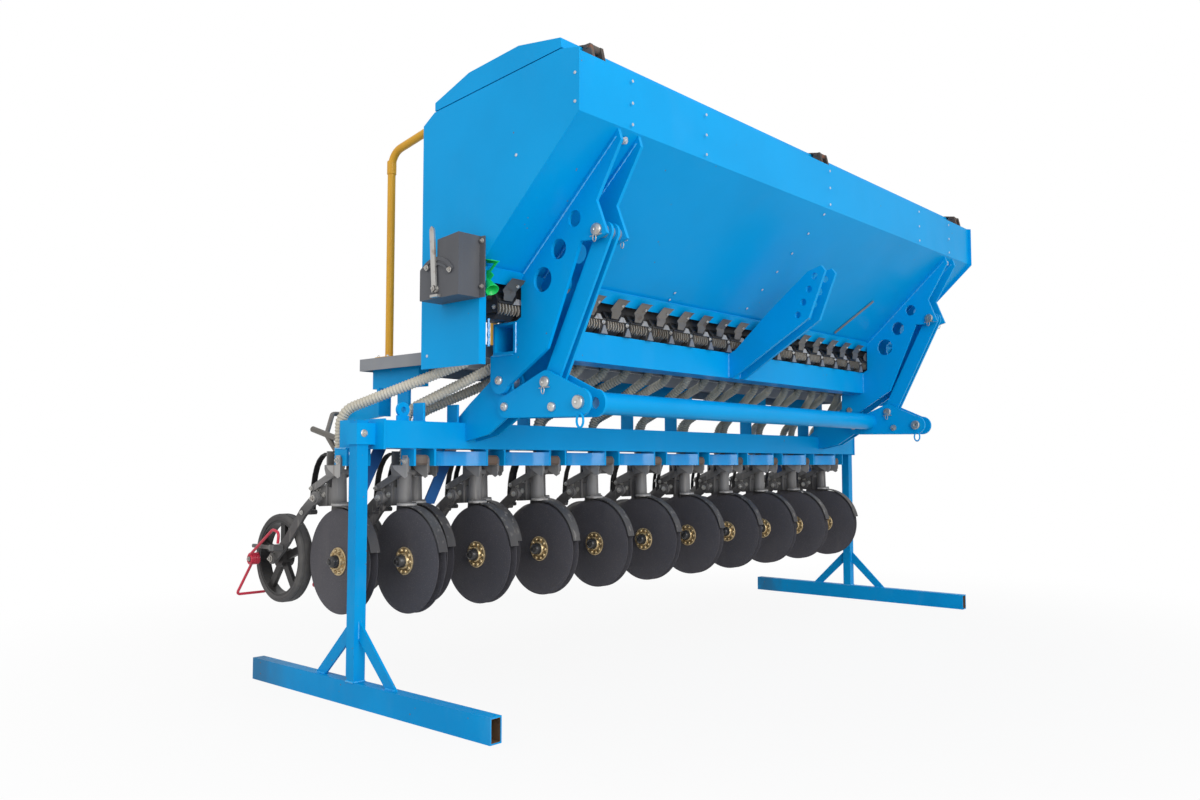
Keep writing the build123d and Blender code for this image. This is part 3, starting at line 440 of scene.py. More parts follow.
@dataclass
class Shell:
    """Gathers grids of points and puts them into one mesh."""

    points: list[Array] = field(default_factory=list)
    corners: list[Array] = field(default_factory=list)
    totals: list[Array] = field(default_factory=list)
    tones: list[Array] = field(default_factory=list)
    count: int = 0

    def add(self, rows: Array, tone: int = 0, capped: bool = True) -> "Shell":
        """Joins neighbouring rows by quads, and closes the first and last row by a face each.

        Args:
            rows: Points, as rows by columns by XYZ; the last column joins the first.
            tone: Which of the piece's finishes the faces take.
            capped: Whether the end rows get a face.

        Returns:
            The shell itself.
        """
        high, wide, _ = rows.shape
        index = self.count + np.arange(high * wide).reshape(high, wide)
        right = np.roll(index, -1, axis=1)
        quads = np.stack([index[:-1], right[:-1], right[1:], index[1:]], axis=-1).reshape(-1, 4)
        self.points.append(rows.reshape(-1, 3))
        self.corners.append(quads.ravel())
        self.totals.append(np.full(len(quads), 4))
        if capped:
            self.corners.append(np.concatenate([index[0, ::-1], index[-1]]))
            self.totals.append(np.full(2, wide))
        self.tones.append(np.full(len(quads) + (2 if capped else 0), tone))
        self.count += high * wide
        return self

    def turn(self, profile: list, centre: Point, direction: Point = FAR, sides: int = 32,
             tone: int = 0) -> "Shell":
        """Adds a turned shape, as lathe says, in one of the piece's finishes."""
        return self.add(lathe(profile, centre, direction, sides), tone)

    def plate(self, outline: list, start: float, end: float, soft: float = 0.0, tone: int = 0) -> "Shell":
        """Adds a flat plate across X, as prism says, in one of the piece's finishes."""
        return self.add(prism(outline, start, end, soft), tone)

    def block(self, low: Point, high: Point, soft: float = 0.001, tone: int = 0) -> "Shell":
        """Adds a box between two corners with its edges cut at 45 degrees.

        Args:
            low: The corner with the lowest values.
            high: The corner with the highest.
            soft: Width of the cut edges.
            tone: Which of the piece's finishes the box takes.

        Returns:
            The shell itself.
        """
        (x0, y0, z0), (x1, y1, z1) = low, high
        outline = [(y0 + soft, z0), (y1 - soft, z0), (y1, z0 + soft), (y1, z1 - soft), (y1 - soft, z1),
                   (y0 + soft, z1), (y0, z1 - soft), (y0, z0 + soft)]
        return self.plate(outline, x0, x1, soft, tone)

    def repeat(self, offsets: Array | list) -> "Shell":
        """Copies the shell to each offset.

        Args:
            offsets: Shifts, as rows of XYZ.

        Returns:
            A shell with all the copies.
        """
        points, corners = np.concatenate(self.points), np.concatenate(self.corners)
        places = np.array(offsets, float).reshape(-1, 1, 3)
        shift = np.arange(len(places))[:, None] * self.count
        made = Shell()
        made.points = [(points[None] + places).reshape(-1, 3)]
        made.corners = [(corners[None] + shift).ravel()]
        made.totals = [np.tile(np.concatenate(self.totals), len(places))]
        made.tones = [np.tile(np.concatenate(self.tones), len(places))]
        made.count = self.count * len(places)
        return made

    def join(self, other: "Shell") -> None:
        """Takes in another shell's faces.

        Args:
            other: The shell that is taken in.
        """
        self.points += other.points
        self.corners += [c + self.count for c in other.corners]
        self.totals += other.totals
        self.tones += other.tones
        self.count += other.count

    def bolt(self, centre: Point, direction: Point, size: float, tone: int = 0) -> None:
        """Adds a washer, a hexagon head and the end of the thread.

        Args:
            centre: Middle of the washer's seat.
            direction: Which way the bolt stands out.
            size: Half the head's width over its corners.
            tone: Which of the piece's finishes the bolt takes.
        """
        washer = [(0.0, 1.3), (0.2, 1.3), (0.25, 1.22)]
        head = [(0.2, 1.0), (0.8, 1.0), (0.95, 0.84)]
        thread = [(0.9, 0.45), (1.35, 0.45), (1.45, 0.36)]
        for part, sides in ((washer, 14), (head, 6), (thread, 8)):
            self.turn([(along * size, r * size) for along, r in part], centre, direction, sides, tone)

    def bead(self, start: Point, end: Point, radius: float = 0.003) -> None:
        """Adds a weld bead: a thin tube whose radius swells and sinks along it.

        Args:
            start: Where the bead begins.
            end: Where it ends.
            radius: Its middle radius.
        """
        reach = float(np.linalg.norm(np.subtract(end, start)))
        share = np.linspace(0.0, 1.0, max(int(reach / 0.006), 4))[:, None]
        path = np.array(start) * (1 - share) + np.array(end) * share
        ripple = radius * (1 + 0.22 * np.sin(share[:, 0] * reach / 0.0045))
        self.add(tube(path, ripple, 6))

    def mesh(self, name: str) -> bpy.types.Mesh:
        """Puts the gathered faces into a mesh.

        Args:
            name: The mesh's name.

        Returns:
            The mesh, with its faces pointing out and edges over 35 degrees kept sharp.
        """
        points, corners = np.concatenate(self.points), np.concatenate(self.corners)
        totals, tones = np.concatenate(self.totals), np.concatenate(self.tones)
        made = bpy.data.meshes.new(name)
        made.vertices.add(len(points))
        made.vertices.foreach_set("co", points.astype(np.float32).ravel())
        made.loops.add(len(corners))
        made.loops.foreach_set("vertex_index", corners.astype(np.int32))
        made.polygons.add(len(totals))
        starts = np.concatenate([[0], np.cumsum(totals)[:-1]])
        for attribute, values in (("loop_start", starts), ("loop_total", totals), ("material_index", tones)):
            made.polygons.foreach_set(attribute, values.astype(np.int32))
        made.polygons.foreach_set("use_smooth", np.ones(len(totals), bool))
        made.update(calc_edges=True)
        work = bmesh.new()
        work.from_mesh(made)
        bmesh.ops.recalc_face_normals(work, faces=work.faces)
        work.to_mesh(made)
        work.free()
        made.set_sharp_from_angle(angle=math.radians(35))
        return made

    def place(self, name: str, finishes: tuple[Finish, ...], node: str = "", body: str = "frame") -> None:
        """Makes the piece, which rides on a body and may stand for a CAD node.

        Args:
            name: The piece's name.
            finishes: Its finishes, in the order of the shell's tones.
            node: The CAD node that it replaces.
            body: The CAD body that it rides on.
        """
        obj = bpy.data.objects.new(name, self.mesh(name))
        bpy.context.scene.collection.objects.link(obj)
        for finish in finishes:
            obj.data.materials.append(finish.material())
        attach(obj, body)
        if node:
            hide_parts(node)
        log.info("%s: %d faces on %s", name, len(obj.data.polygons), body)


@dataclass
class CoulterRows:
    """Where the coulters stand: ten in front, eleven behind, 0.30 m apart in each row."""

    pitch: float = 0.300
    front: int = 10
    rear: int = 11
    hub_y: float = 0.030
    setback: float = 0.140
    hub_z: float = 0.411

    def row(self, rear: bool) -> list[tuple[float, float]]:
        """Returns the (X, Y) places of one row's hubs, from the near end to the far end."""
        count, y = (self.rear, self.hub_y + self.setback) if rear else (self.front, self.hub_y)
        return [((i - (count - 1) / 2) * self.pitch, y) for i in range(count)]

    def all(self) -> list[tuple[float, float]]:
        """Returns every hub's (X, Y), from the near end to the far end."""
        return sorted(self.row(False) + self.row(True))

    def offsets(self, rear: bool | None = None) -> Array:
        """Returns hub places as XYZ shifts with Z nought, for one row or for both."""
        places = self.all() if rear is None else self.row(rear)
        return np.array([(x, y, 0.0) for x, y in places])


@dataclass
class DiscPairs:
    """Seed discs: thin dark plates with a gold bolt ring and a dark bearing cap on each side."""

    rows: CoulterRows
    inner: float = 0.013
    plate: float = 0.004
    radius: float = 0.165
    ring_r: float = 0.044
    cap_r: float = 0.019
    bolt_r: float = 0.0345
    bolts: int = 10

    def shell(self) -> Shell:
        """Makes one pair about the origin of its hub: turned plates, rings and caps, mirrored in X.

        Returns:
            The pair.
        """
        z, near, face, r = self.rows.hub_z, self.inner, self.inner + self.plate, self.radius
        ring_r, cap_r, hub = self.ring_r, self.cap_r, (0.0, 0.0, z)
        disc = [(near, 0.018), (near, r - 0.001), (near + 0.0006, r), (near + 0.002, r - 0.0005),
                (face - 0.0005, r - 0.011), (face, r - 0.013), (face, 0.018)]
        ring = [(face, ring_r), (face + 0.003, ring_r), (face + 0.0045, ring_r - 0.002),
                (face + 0.0035, 0.026), (face + 0.009, 0.0245), (face + 0.011, 0.0225)]
        cap = [(face + 0.009, cap_r + 0.002), (face + 0.014, cap_r + 0.002), (face + 0.018, cap_r),
               (face + 0.026, cap_r - 0.001), (face + 0.031, 0.014), (face + 0.033, 0.009),
               (face + 0.038, 0.008), (face + 0.040, 0.005)]
        made = Shell().turn([(-near, 0.020), (near, 0.020)], hub, sides=24)
        for side in SIDES:
            axis = (side, 0.0, 0.0)
            made.turn(disc, hub, axis, 72).turn(ring, hub, axis, 40, 1)
            for a in np.linspace(0.0, 2 * math.pi, self.bolts, endpoint=False):
                spot = (side * (face + 0.003), self.bolt_r * math.cos(a), z + self.bolt_r * math.sin(a))
                made.turn([(0.0, 0.0062), (0.004, 0.0058), (0.0065, 0.0036)], spot, axis, 8, 1)
            made.turn(cap, hub, axis, 28, 2)
        return made

    def build(self) -> None:
        """Makes a pair for each coulter, on its own turning body."""
        for i, place in enumerate(self.rows.offsets(), 1):
            name = f"disc_pair_{i:02d}"
            self.shell().repeat(place).place(f"discs_{i:02d}", (DISC, GOLD, SATIN), name, name)


@dataclass
class PressWheels:
    """Rubber tyres with a crowned tread and a moulded line round each wall."""

    rows: CoulterRows
    back: float = 0.348
    height: float = 0.400
    outer: float = 0.1485
    inner: float = 0.1265
    half: float = 0.024

    def build(self) -> None:
        """Turns the tyre's section, mirrored in X, about each row's axle line."""
        w, r, q = self.half, self.outer, self.inner
        wall = [(w - 0.002, q), (w, q + 0.004), (w, q + 0.009), (w - 0.001, q + 0.010), (w, q + 0.011),
                (w - 0.001, r - 0.006), (w - 0.005, r - 0.0015), (0.012, r), (0.011, r - 0.002),
                (0.009, r - 0.002), (0.008, r)]
        section = [(-along, high) for along, high in wall] + wall[::-1]
        ring = lathe(section, (0.0, self.back, self.height), sides=64)
        ring = np.concatenate([ring, ring[:1]])
        for rear, name in ((False, "front"), (True, "rear")):
            made = Shell().add(ring, capped=False).repeat(self.rows.offsets(rear))
            made.place(f"{name}_tyre_rubber", (RUBBER,), f"{name}_tyres", f"press_wheels_{name}")


@dataclass
class SeedHoses:
    """Ribbed hoses from the metering spouts over the rails to the coulters' trunks."""

    rows: CoulterRows
    pitch: float = 0.125
    spout_y: float = -0.170
    spout_z: float = 1.108
    drop_z: float = 1.050
    turn_z: float = 0.885
    boot_back: float = 0.028
    boot_z: float = 0.700
    bends: tuple[float, float] = (0.075, 0.070)
    radius: float = 0.0162
    rib: float = 0.0016
    rib_pitch: float = 0.0105

    def build(self) -> None:
        """Sweeps a ring whose radius swells at each rib along the hose's eased line."""
        places = self.rows.all()
        made = Shell()
        for i, (x, y) in enumerate(places):
            start_x = (i - (len(places) - 1) / 2) * self.pitch
            down = y + self.boot_back
            corners = [(start_x, self.spout_y, self.spout_z), (start_x, self.spout_y, self.drop_z),
                       (x, down, self.turn_z), (x, down, self.boot_z)]
            line = eased(corners, self.bends, self.rib_pitch / 4)
            swell = self.radius + self.rib * np.cos(np.arange(len(line)) * math.pi / 2)
            made.add(tube(line, swell, 14))
        made.place("ribbed_hoses", (HOSE,), "seed_hoses")


@dataclass
class MeteringRow:
    """Metering housings on the beam, with ribs, shutter levers, feet and spouts."""

    count: int = 21
    pitch: float = 0.125
    front: float = -0.322
    beam_top: float = 1.158
    teeth: int = 7
    tooth_pitch: float = 0.013
    sill: float = 1.214
    skirt_x: float = 1.3880
    bracket_xs: tuple[float, float] = (-1.125, 1.125)

    def housing(self) -> Shell:
        """Makes one housing: its body, comb of teeth, side bosses, foot and spout.

        Returns:
            The housing.
        """
        f, b, x = self.front, self.beam_top, self.pitch / 2
        body = [(f + 0.008, b + 0.024), (f + 0.008, 1.222), (f + 0.030, 1.242), (-0.214, 1.289),
                (-0.146, 1.234), (-0.146, 1.208), (-0.216, b + 0.002), (f + 0.030, b + 0.002)]
        boss = [(f + 0.006, b + 0.020), (f + 0.006, 1.216), (f + 0.020, 1.236), (-0.230, 1.262),
                (-0.230, b + 0.020)]
        foot = [(x - 0.017, b + 0.0005), (x + 0.017, b + 0.0005), (x + 0.004, b + 0.030),
                (x - 0.004, b + 0.030)]
        spout = [(0.0, 0.0215), (0.050, 0.0215), (0.052, 0.0225), (0.062, 0.0225), (0.064, 0.0215),
                 (0.108, 0.0205)]
        made = Shell().plate(body, -0.036, 0.036, 0.003)
        for side in SIDES:
            made.plate(boss, side * 0.037, side * 0.044, 0.001)
        for i in range(self.teeth):
            middle = -0.039 + i * self.tooth_pitch
            tooth = [(f, b + 0.018 + 0.004 * (i % 2)), (f - 0.0035, b + 0.030), (f, 1.204),
                     (f + 0.010, 1.208), (f + 0.010, b + 0.014)]
            made.plate(tooth, middle - 0.0017, middle + 0.0017, 0.0006, 3)
        made.block((-0.043, f + 0.001, 1.206), (0.043, f + 0.012, 1.213))
        made.add(prism(foot, f - 0.004, f + 0.001, 0.001, axis=1), 1)
        made.bolt((x, f + 0.002, b + 0.041), FRONT, 0.0055, 2)
        made.block((x - 0.0175, f + 0.004, b + 0.0005), (x + 0.0175, f + 0.030, b + 0.056), 0.002)
        # A black bar across the whole pitch behind the bodies: a dark backing that stands in for the shade
        # between the units.
        made.block((-x, -0.290, 1.218), (x, -0.225, 1.2885), 0.004)
        made.bolt((-0.044, -0.300, 1.195), NEAR, 0.006, 2)
        return made.turn(spout, (0.0, -0.170, 1.216), DOWN, 20)

    def lever(self, lean: float, rise: float) -> Shell:
        """Makes one shutter lever: a sheet bent twice that leans forward and to the far side, and its fin.

        Args:
            lean: How far the upper edge stands in front of the lower one.
            rise: Height of the upper edge above the lower one.

        Returns:
            The lever with its lip and bolt, and the small sloping fin beside it.
        """
        f, sill, thick = self.front, self.sill, 0.0025
        shares = (0.0, 0.30, 0.46, 0.92, 1.0)
        backs = (0.004, 0.45 * lean, 0.30 * lean, lean, lean + 0.3 * lean)
        lefts, rights = (-0.030, -0.034, -0.036, -0.018, -0.017), (0.004, 0.014, 0.018, 0.040, 0.044)
        rows = [[(left, f - back, sill + s * rise), (right, f - back, sill + s * rise),
                 (right, f - back - thick, sill + 0.0005 + s * rise),
                 (left, f - back - thick, sill + 0.0005 + s * rise)]
                for s, back, left, right in zip(shares, backs, lefts, rights)]
        fin = [[(0.014, f - 0.002, 1.206), (0.054, f - 0.002, 1.2075), (0.054, f + 0.001, 1.209),
                (0.014, f + 0.001, 1.2075)],
               [(0.036, f + 0.004, 1.226), (0.050, f + 0.004, 1.225), (0.050, f + 0.007, 1.2265),
                (0.036, f + 0.007, 1.2275)]]
        made = Shell().add(np.array(rows))
        made.bolt((0.018, f - thick - 0.65 * lean, sill + 0.70 * rise), (0.0, -1.0, 0.35), 0.0046, 1)
        return made.add(np.array(fin), 2)

    def build(self) -> None:
        """Places the housings, levers that stand straighter where a bracket passes, and the slope's fold."""
        xs = (np.arange(self.count) - (self.count - 1) / 2) * self.pitch
        spots = np.stack([xs, np.zeros_like(xs), np.zeros_like(xs)], axis=1)
        self.housing().repeat(spots).place("metering_housings", (PLASTIC, DULL, ZINC, COMB), "metering_units")
        tight = np.isin(np.round(xs, 3), self.bracket_xs)
        levers = self.lever(0.022, 0.066).repeat(spots[~tight])
        levers.join(self.lever(0.002, 0.040).repeat(spots[tight]))
        levers.place("shutter_levers", (LEVER, ZINC, EAR), "unit_levers")
        skirt = [(-0.3460, 1.3020), (-0.3225, 1.2700), (-0.3195, 1.2640), (-0.3175, 1.2650),
                 (-0.3205, 1.2710), (-0.3440, 1.3035)]
        Shell().plate(skirt, -self.skirt_x, self.skirt_x, 0.0004).place("slope_skirt", (BLUE,))


@dataclass
class Headstock:
    """Pins, heads, linch rings and welds of the headstock's plates."""

    set_x: float = 1.161
    bracket_out: float = 0.051
    arm_out: float = 0.0387
    collar: float = 0.0195
    ear: tuple[float, float] = (-0.647, 1.393)
    link: tuple[float, float] = (-0.427, 0.964)
    lug: tuple[float, float] = (-0.237, 0.978)
    low: tuple[float, float] = (-0.250, 0.896)
    tie: tuple[float, float] = (-0.457, 0.888)
    tip: tuple[float, float] = (-0.568, 0.898)

    def sets(self) -> list[Point]:
        """Returns the shifts that carry one set of plates to both sides."""
        return [(-self.set_x, 0, 0), (self.set_x, 0, 0)]

    def pins(self) -> None:
        """Makes the pins with a domed head at each end, the collars on them, and the tips' knobs."""
        made = Shell()
        for (y, z), reach, radius, head in (
            (self.ear, self.bracket_out, 0.0118, 0.019), (self.link, self.arm_out, 0.0118, 0.018),
            (self.lug, self.bracket_out, 0.0118, 0.014), (self.low, self.arm_out, 0.0118, 0.0135),
            (self.tie, self.arm_out, 0.0088, 0.0145),
        ):
            dome = [(0.0005, head), (0.006, head), (0.009, 0.86 * head), (0.010, 0.30 * head),
                    (0.008, 0.22 * head), (0.008, 0.05 * head)]
            made.turn([(-reach, radius), (reach, radius)], (0, y, z), sides=20)
            for side in SIDES:
                made.turn(dome, (side * reach, y, z), (side, 0.0, 0.0), 28)
        for (y, z), inner, outer in (
            (self.ear, 0.0193, 0.0387), (self.link, 0.0193, 0.0284), (self.ear, 0.0, 0.0087),
            (self.link, 0.0, 0.0087), (self.lug, 0.0287, 0.0387), (self.lug, 0.0, 0.0181),
            (self.low, 0.0, 0.0181), (self.tie, 0.0, 0.0284),
        ):
            for side in SIDES:
                made.turn([(inner, self.collar), (outer, self.collar)], (0, y, z), (side, 0.0, 0.0), 20)
        knob = [(0.0, 0.0195), (0.005, 0.0205), (0.011, 0.0205), (0.014, 0.018), (0.0145, 0.006),
                (0.012, 0.004)]
        for side in SIDES:
            made.turn(knob, (side * self.arm_out, *self.tip), (side, 0.0, 0.0))
        made.repeat(self.sets()).place("headstock_pins", (ZINC,), "coupling_pins")

    def keys(self) -> None:
        """Makes the rings under the tips, and the split pins of the upper and lower link pins."""
        y, z = self.tip
        ring = hoop((-self.arm_out - 0.004, y - 0.006, z - 0.055), 0.013, 0.020, 0.0035)
        Shell().add(ring, capped=False).repeat(self.sets()).place("tip_rings", (BLUE,))
        made = Shell()
        for (y, z), reach in ((self.ear, self.bracket_out), (self.link, self.arm_out)):
            for side in SIDES:
                x = side * (reach + 0.0065)
                path = np.array([(x, y - 0.024, z - 0.016), (x, y, z - 0.0165), (x, y + 0.020, z - 0.018)])
                made.add(hoop((x + side * 0.004, y, z - 0.026), 0.006, 0.010, 0.0015), capped=False)
                made.add(tube(path, 0.0018, 8))
        made.repeat(self.sets()).place("split_pins", (ZINC,))

    def welds(self) -> None:
        """Runs beads along the beam's plates: up its front, under it, and up the hopper's slope."""
        made = Shell()
        for x in (side * self.set_x + step + edge for side in SIDES for step in (-0.045, 0.045)
                  for edge in (-0.0068, 0.0068)):
            made.bead((x, -0.3105, 1.061), (x, -0.3105, 1.155))
            made.bead((x, -0.300, 1.0565), (x, -0.205, 1.0565))
            made.bead((x, -0.722, 1.652), (x, -0.345, 1.304))
        for x in (middle + edge for middle in (-0.040, 0.040) for edge in (-0.0083, 0.0083)):
            made.bead((x, -0.3110, 1.062), (x, -0.3110, 1.154))
        for x in (0.104, 1.325, -1.325):
            made.bead((x, -0.3108, 1.070), (x, -0.3108, 1.155), 0.0045)
        made.place("headstock_welds", (HIGHLIT_WELD,))

    def build(self) -> None:
        """Makes the pins of both sets, their rings and split pins, and the weld beads."""
        self.pins()
        self.keys()
        self.welds()


@dataclass
class CoulterFittings:
    """Bolts, rubber bushes and clamps on every coulter."""

    rows: CoulterRows
    pivot_z: float = 0.728

    def build(self) -> None:
        """Makes one coulter's fittings and repeats them at every hub; a bolt stands out on its own side."""
        made = Shell().block((-0.028, -0.060, 0.714), (0.028, -0.022, 0.746), 0.006, 1)
        for x, y, z, size in (
            (-0.0519, -0.040, self.pivot_z, 0.0085), (0.044, -0.040, self.pivot_z, 0.0085),
            (-0.0140, 0.122, 0.634, 0.0075), (0.0140, 0.122, 0.634, 0.0075),
            (-0.0140, 0.092, 0.617, 0.0075), (0.0140, 0.092, 0.617, 0.0075),
            (-0.044, 0.109, 0.607, 0.0085), (-0.032, 0.139, 0.638, 0.006),
            (-0.042, 0.177, 0.559, 0.006), (-0.050, 0.348, 0.400, 0.0085),
        ):
            made.bolt((x, y, z), (math.copysign(1.0, x), 0.0, 0.0), size)
        ear = [(-0.0525, 0.744), (-0.0275, 0.744), (-0.0285, 0.712), (0.024, 0.712), (0.014, 0.700),
               (-0.040, 0.672), (-0.0525, 0.678)]
        for start, end in ((-0.0518, -0.0504), (0.0283, 0.0296)):
            made.plate(ear, start, end, 0.0003, 2)
        saddle = [(0.0, 0.031), (0.003, 0.0315), (0.006, 0.0315), (0.009, 0.029)]
        made.turn(saddle, (0.0, 0.016, 0.584), UP, 28, 2)
        made.repeat(self.rows.offsets()).place("coulter_fittings", (ZINC, BUSH, EAR))


@dataclass
class Handrails:
    """Bent yellow pipes with a foot plate, a clamp and bolts."""

    xs: tuple[float, float] = (-1.280, -0.800)
    foot_y: float = 0.245
    deck: float = 1.070
    elbow: float = 1.790
    top_y: float = -0.0662
    radius: float = 0.0135

    def build(self) -> None:
        """Sweeps the pipe along its eased line and adds its collars, foot and clamp."""
        y, deck, elbow = self.foot_y, self.deck, self.elbow
        line = eased([(0, y, deck + 0.008), (0, y, elbow), (0, self.top_y, elbow + 0.056),
                      (0, self.top_y, elbow - 0.090)], (0.060, 0.040), 0.012)
        sleeves = [(0.0, 0.0135), (0.002, 0.0160), (0.046, 0.0160), (0.048, 0.0138)]
        made = Shell().add(tube(line, self.radius, 20)).turn(sleeves, (0, y, elbow - 0.075), UP, 20)
        made.block((-0.035, y - 0.035, deck + 0.0004), (0.035, y + 0.035, deck + 0.010), 0.0015)
        made.block((-0.020, -0.0866, elbow - 0.095), (0.020, self.top_y, elbow - 0.045), 0.002)
        for x in (-0.025, 0.025):
            for step in (-0.025, 0.025):
                made.bolt((x, y + step, deck + 0.010), UP, 0.005, 1)
        made.repeat([(x, 0, 0) for x in self.xs]).place("handrail_pipes", (YELLOW, ZINC), "handrails")


@dataclass
class DriveCase:
    """Quadrant, lever and bolts on the stepped cover."""

    face: float = -1.4778
    cover: float = -1.3978
    pivot: tuple[float, float] = (-0.251, 1.231)
    top: float = 1.419
    bolt_r: float = 0.080
    foot: float = 0.010

    def build(self) -> None:
        """Makes the slotted quadrant as a band of arcs, the lever as a tapering flat, and the bolts."""
        face, (y, z) = self.face, self.pivot
        made = Shell()
        turn = np.radians(np.linspace(34.0, 126.0, 40))[:, None]
        for inner, outer, deep in ((0.070, 0.077, 0.004), (0.084, 0.095, 0.004), (0.076, 0.085, 0.0015)):
            out, r = np.array([0.0, deep, deep, 0.0]), np.array([inner, inner, outer, outer])
            made.add(np.stack([face - out + 0 * turn, y - r * np.cos(turn), z + r * np.sin(turn)], axis=2))
        for a in (math.radians(38.0), math.radians(122.0)):
            spot = (face - 0.004, y - self.bolt_r * math.cos(a), z + self.bolt_r * math.sin(a))
            made.bolt(spot, NEAR, 0.0065, 1)
        made.bolt((face - 0.008, y, z), NEAR, 0.008, 1)
        made.turn([(0.0, 0.011), (0.004, 0.011)], (face, y, z), NEAR, 20, 1)
        rise = np.linspace(-self.foot, self.top - z, 24)
        share = (rise + self.foot) / (self.top - z + self.foot)
        half = 0.0098 * np.sqrt(np.clip(1 - np.clip((share - 0.93) / 0.07, 0, 1) ** 2, 0.02, 1))
        lean = y + 0.014 * share
        made.add(np.stack([np.stack([np.full(24, face - d), lean + s * half, z + rise], axis=1)
                           for d, s in ((0.004, -1), (0.010, -1), (0.010, 1), (0.004, 1))], axis=1), 1)
        made.block((face - 0.014, y - 0.020, z - 0.026), (face, y + 0.014, z - 0.018), tone=1)
        made.place("quadrant_and_lever", (DARK, ZINC), "drive_lever")
        trim = Shell()
        for height in (1.237, 1.372):
            trim.bolt((self.cover, -0.361, height), NEAR, 0.006)
        trim.place("cover_bolts", (ZINC,))


@dataclass
class CoveringTines:
    """Sprung red wires behind the rear press wheels: a hook, a coil and a bent foot each."""

    rows: CoulterRows
    wheel_back: float = 0.348
    coil_back: float = 0.104
    axle_z: float = 0.394
    side: float = 0.054
    end_y: float = 0.740
    low: float = 0.262
    wire: float = 0.0048
    coil_r: float = 0.0160
    coil_half: float = 0.0160
    turns: int = 5

    def build(self) -> None:
        """Sweeps the wire: the coil is a helix of so many turns that steps along X by its own width."""
        made = Shell()
        z, low, end = self.axle_z, self.low, self.end_y
        for x, y in self.rows.row(True):
            s, c = x - self.side, y + self.wheel_back + self.coil_back
            left, right = s - 0.018, s + 0.016
            hook = eased([(left, y + 0.268, 0.456), (left, y + 0.262, 0.492), (left, y + 0.300, 0.500),
                          (left, c - 0.004, z + 0.012)], (0.014, 0.016), 0.006)
            turn = np.linspace(0.5, self.turns * 2.0 + 0.5, 14 * self.turns) * math.pi
            along = 2 * self.coil_half * (turn - turn[0]) / (turn[-1] - turn[0])
            helix = np.stack([s - self.coil_half + along, c + self.coil_r * np.cos(turn),
                              z + self.coil_r * np.sin(turn)], axis=1)
            leg = eased([(right, c + 0.004, z + 0.015), (right, c + 0.020, z + 0.004), (s + 0.004, end, low),
                         (x + 0.060, end, low), (x + 0.074, end, low + 0.024)], (0.006, 0.012, 0.010), 0.006)
            for line in (hook, helix, leg):
                made.add(tube(line, self.wire, 8))
            made.block((s - 0.026, y + 0.284, 0.430), (x - 0.0403, y + 0.314, 0.450), 0.003, 1)
            made.block((s - 0.006, y + 0.306, 0.432), (s + 0.006, c + 0.006, 0.444), 0.003, 1)
            made.turn([(-0.0175, 0.0095), (0.022, 0.0095)], (s, c, z), sides=14, tone=1)
            made.bolt((s - 0.0175, c, z), NEAR, 0.0055, 2)
        made.place("sprung_tines", (RED, CAST, ZINC), "covering_tines")


@dataclass
class FlapAndFunnel:
    """Green calibration flap with its hooked frame, and the funnel under it."""

    wall: float = -1.3882
    face: float = -1.3590
    mouth: Point = (-1.3650, -0.3700, 1.2290)
    neck: Point = (-1.3575, -0.3420, 1.2640)

    def build(self) -> None:
        """Makes the frame as a sleeve, the hook as a flat, and the funnel as a hollow turned cone."""
        outer = [(-0.330, 1.3240), (-0.392, 1.3120), (-0.356, 1.2850), (-0.330, 1.2850)]
        inner = [(-0.336, 1.3155), (-0.373, 1.3085), (-0.352, 1.2920), (-0.336, 1.2920)]
        lip = [(-0.330, 1.3255), (-0.392, 1.3135), (-0.392, 1.3110), (-0.330, 1.3228)]
        hook = [(-0.330, 1.2860), (-0.362, 1.2840), (-0.372, 1.2740), (-0.366, 1.2700), (-0.352, 1.2600),
                (-0.346, 1.2150), (-0.330, 1.2150)]
        made = Shell().add(sleeve(outer, inner, self.face - 0.003, self.face), capped=False)
        made.plate(lip, self.wall, self.face + 0.003, 0.0005)
        made.plate(hook, self.face - 0.004, self.face, 0.0005)
        made.block((self.wall, -0.341, 1.216), (self.face - 0.004, -0.337, 1.284), 0.0005)
        run = np.array(self.mouth) - np.array(self.neck)
        reach = float(np.linalg.norm(run))
        cone = [(0.004, 0.0035), (0.0, 0.008), (0.3 * reach, 0.0105), (reach, 0.0205),
                (reach + 0.0008, 0.0195), (reach, 0.0185), (0.3 * reach, 0.0085), (0.006, 0.0035)]
        made.turn(cone, self.neck, tuple(run))
        made.place("flap_and_funnel", (GREEN,), "calibration_flap")


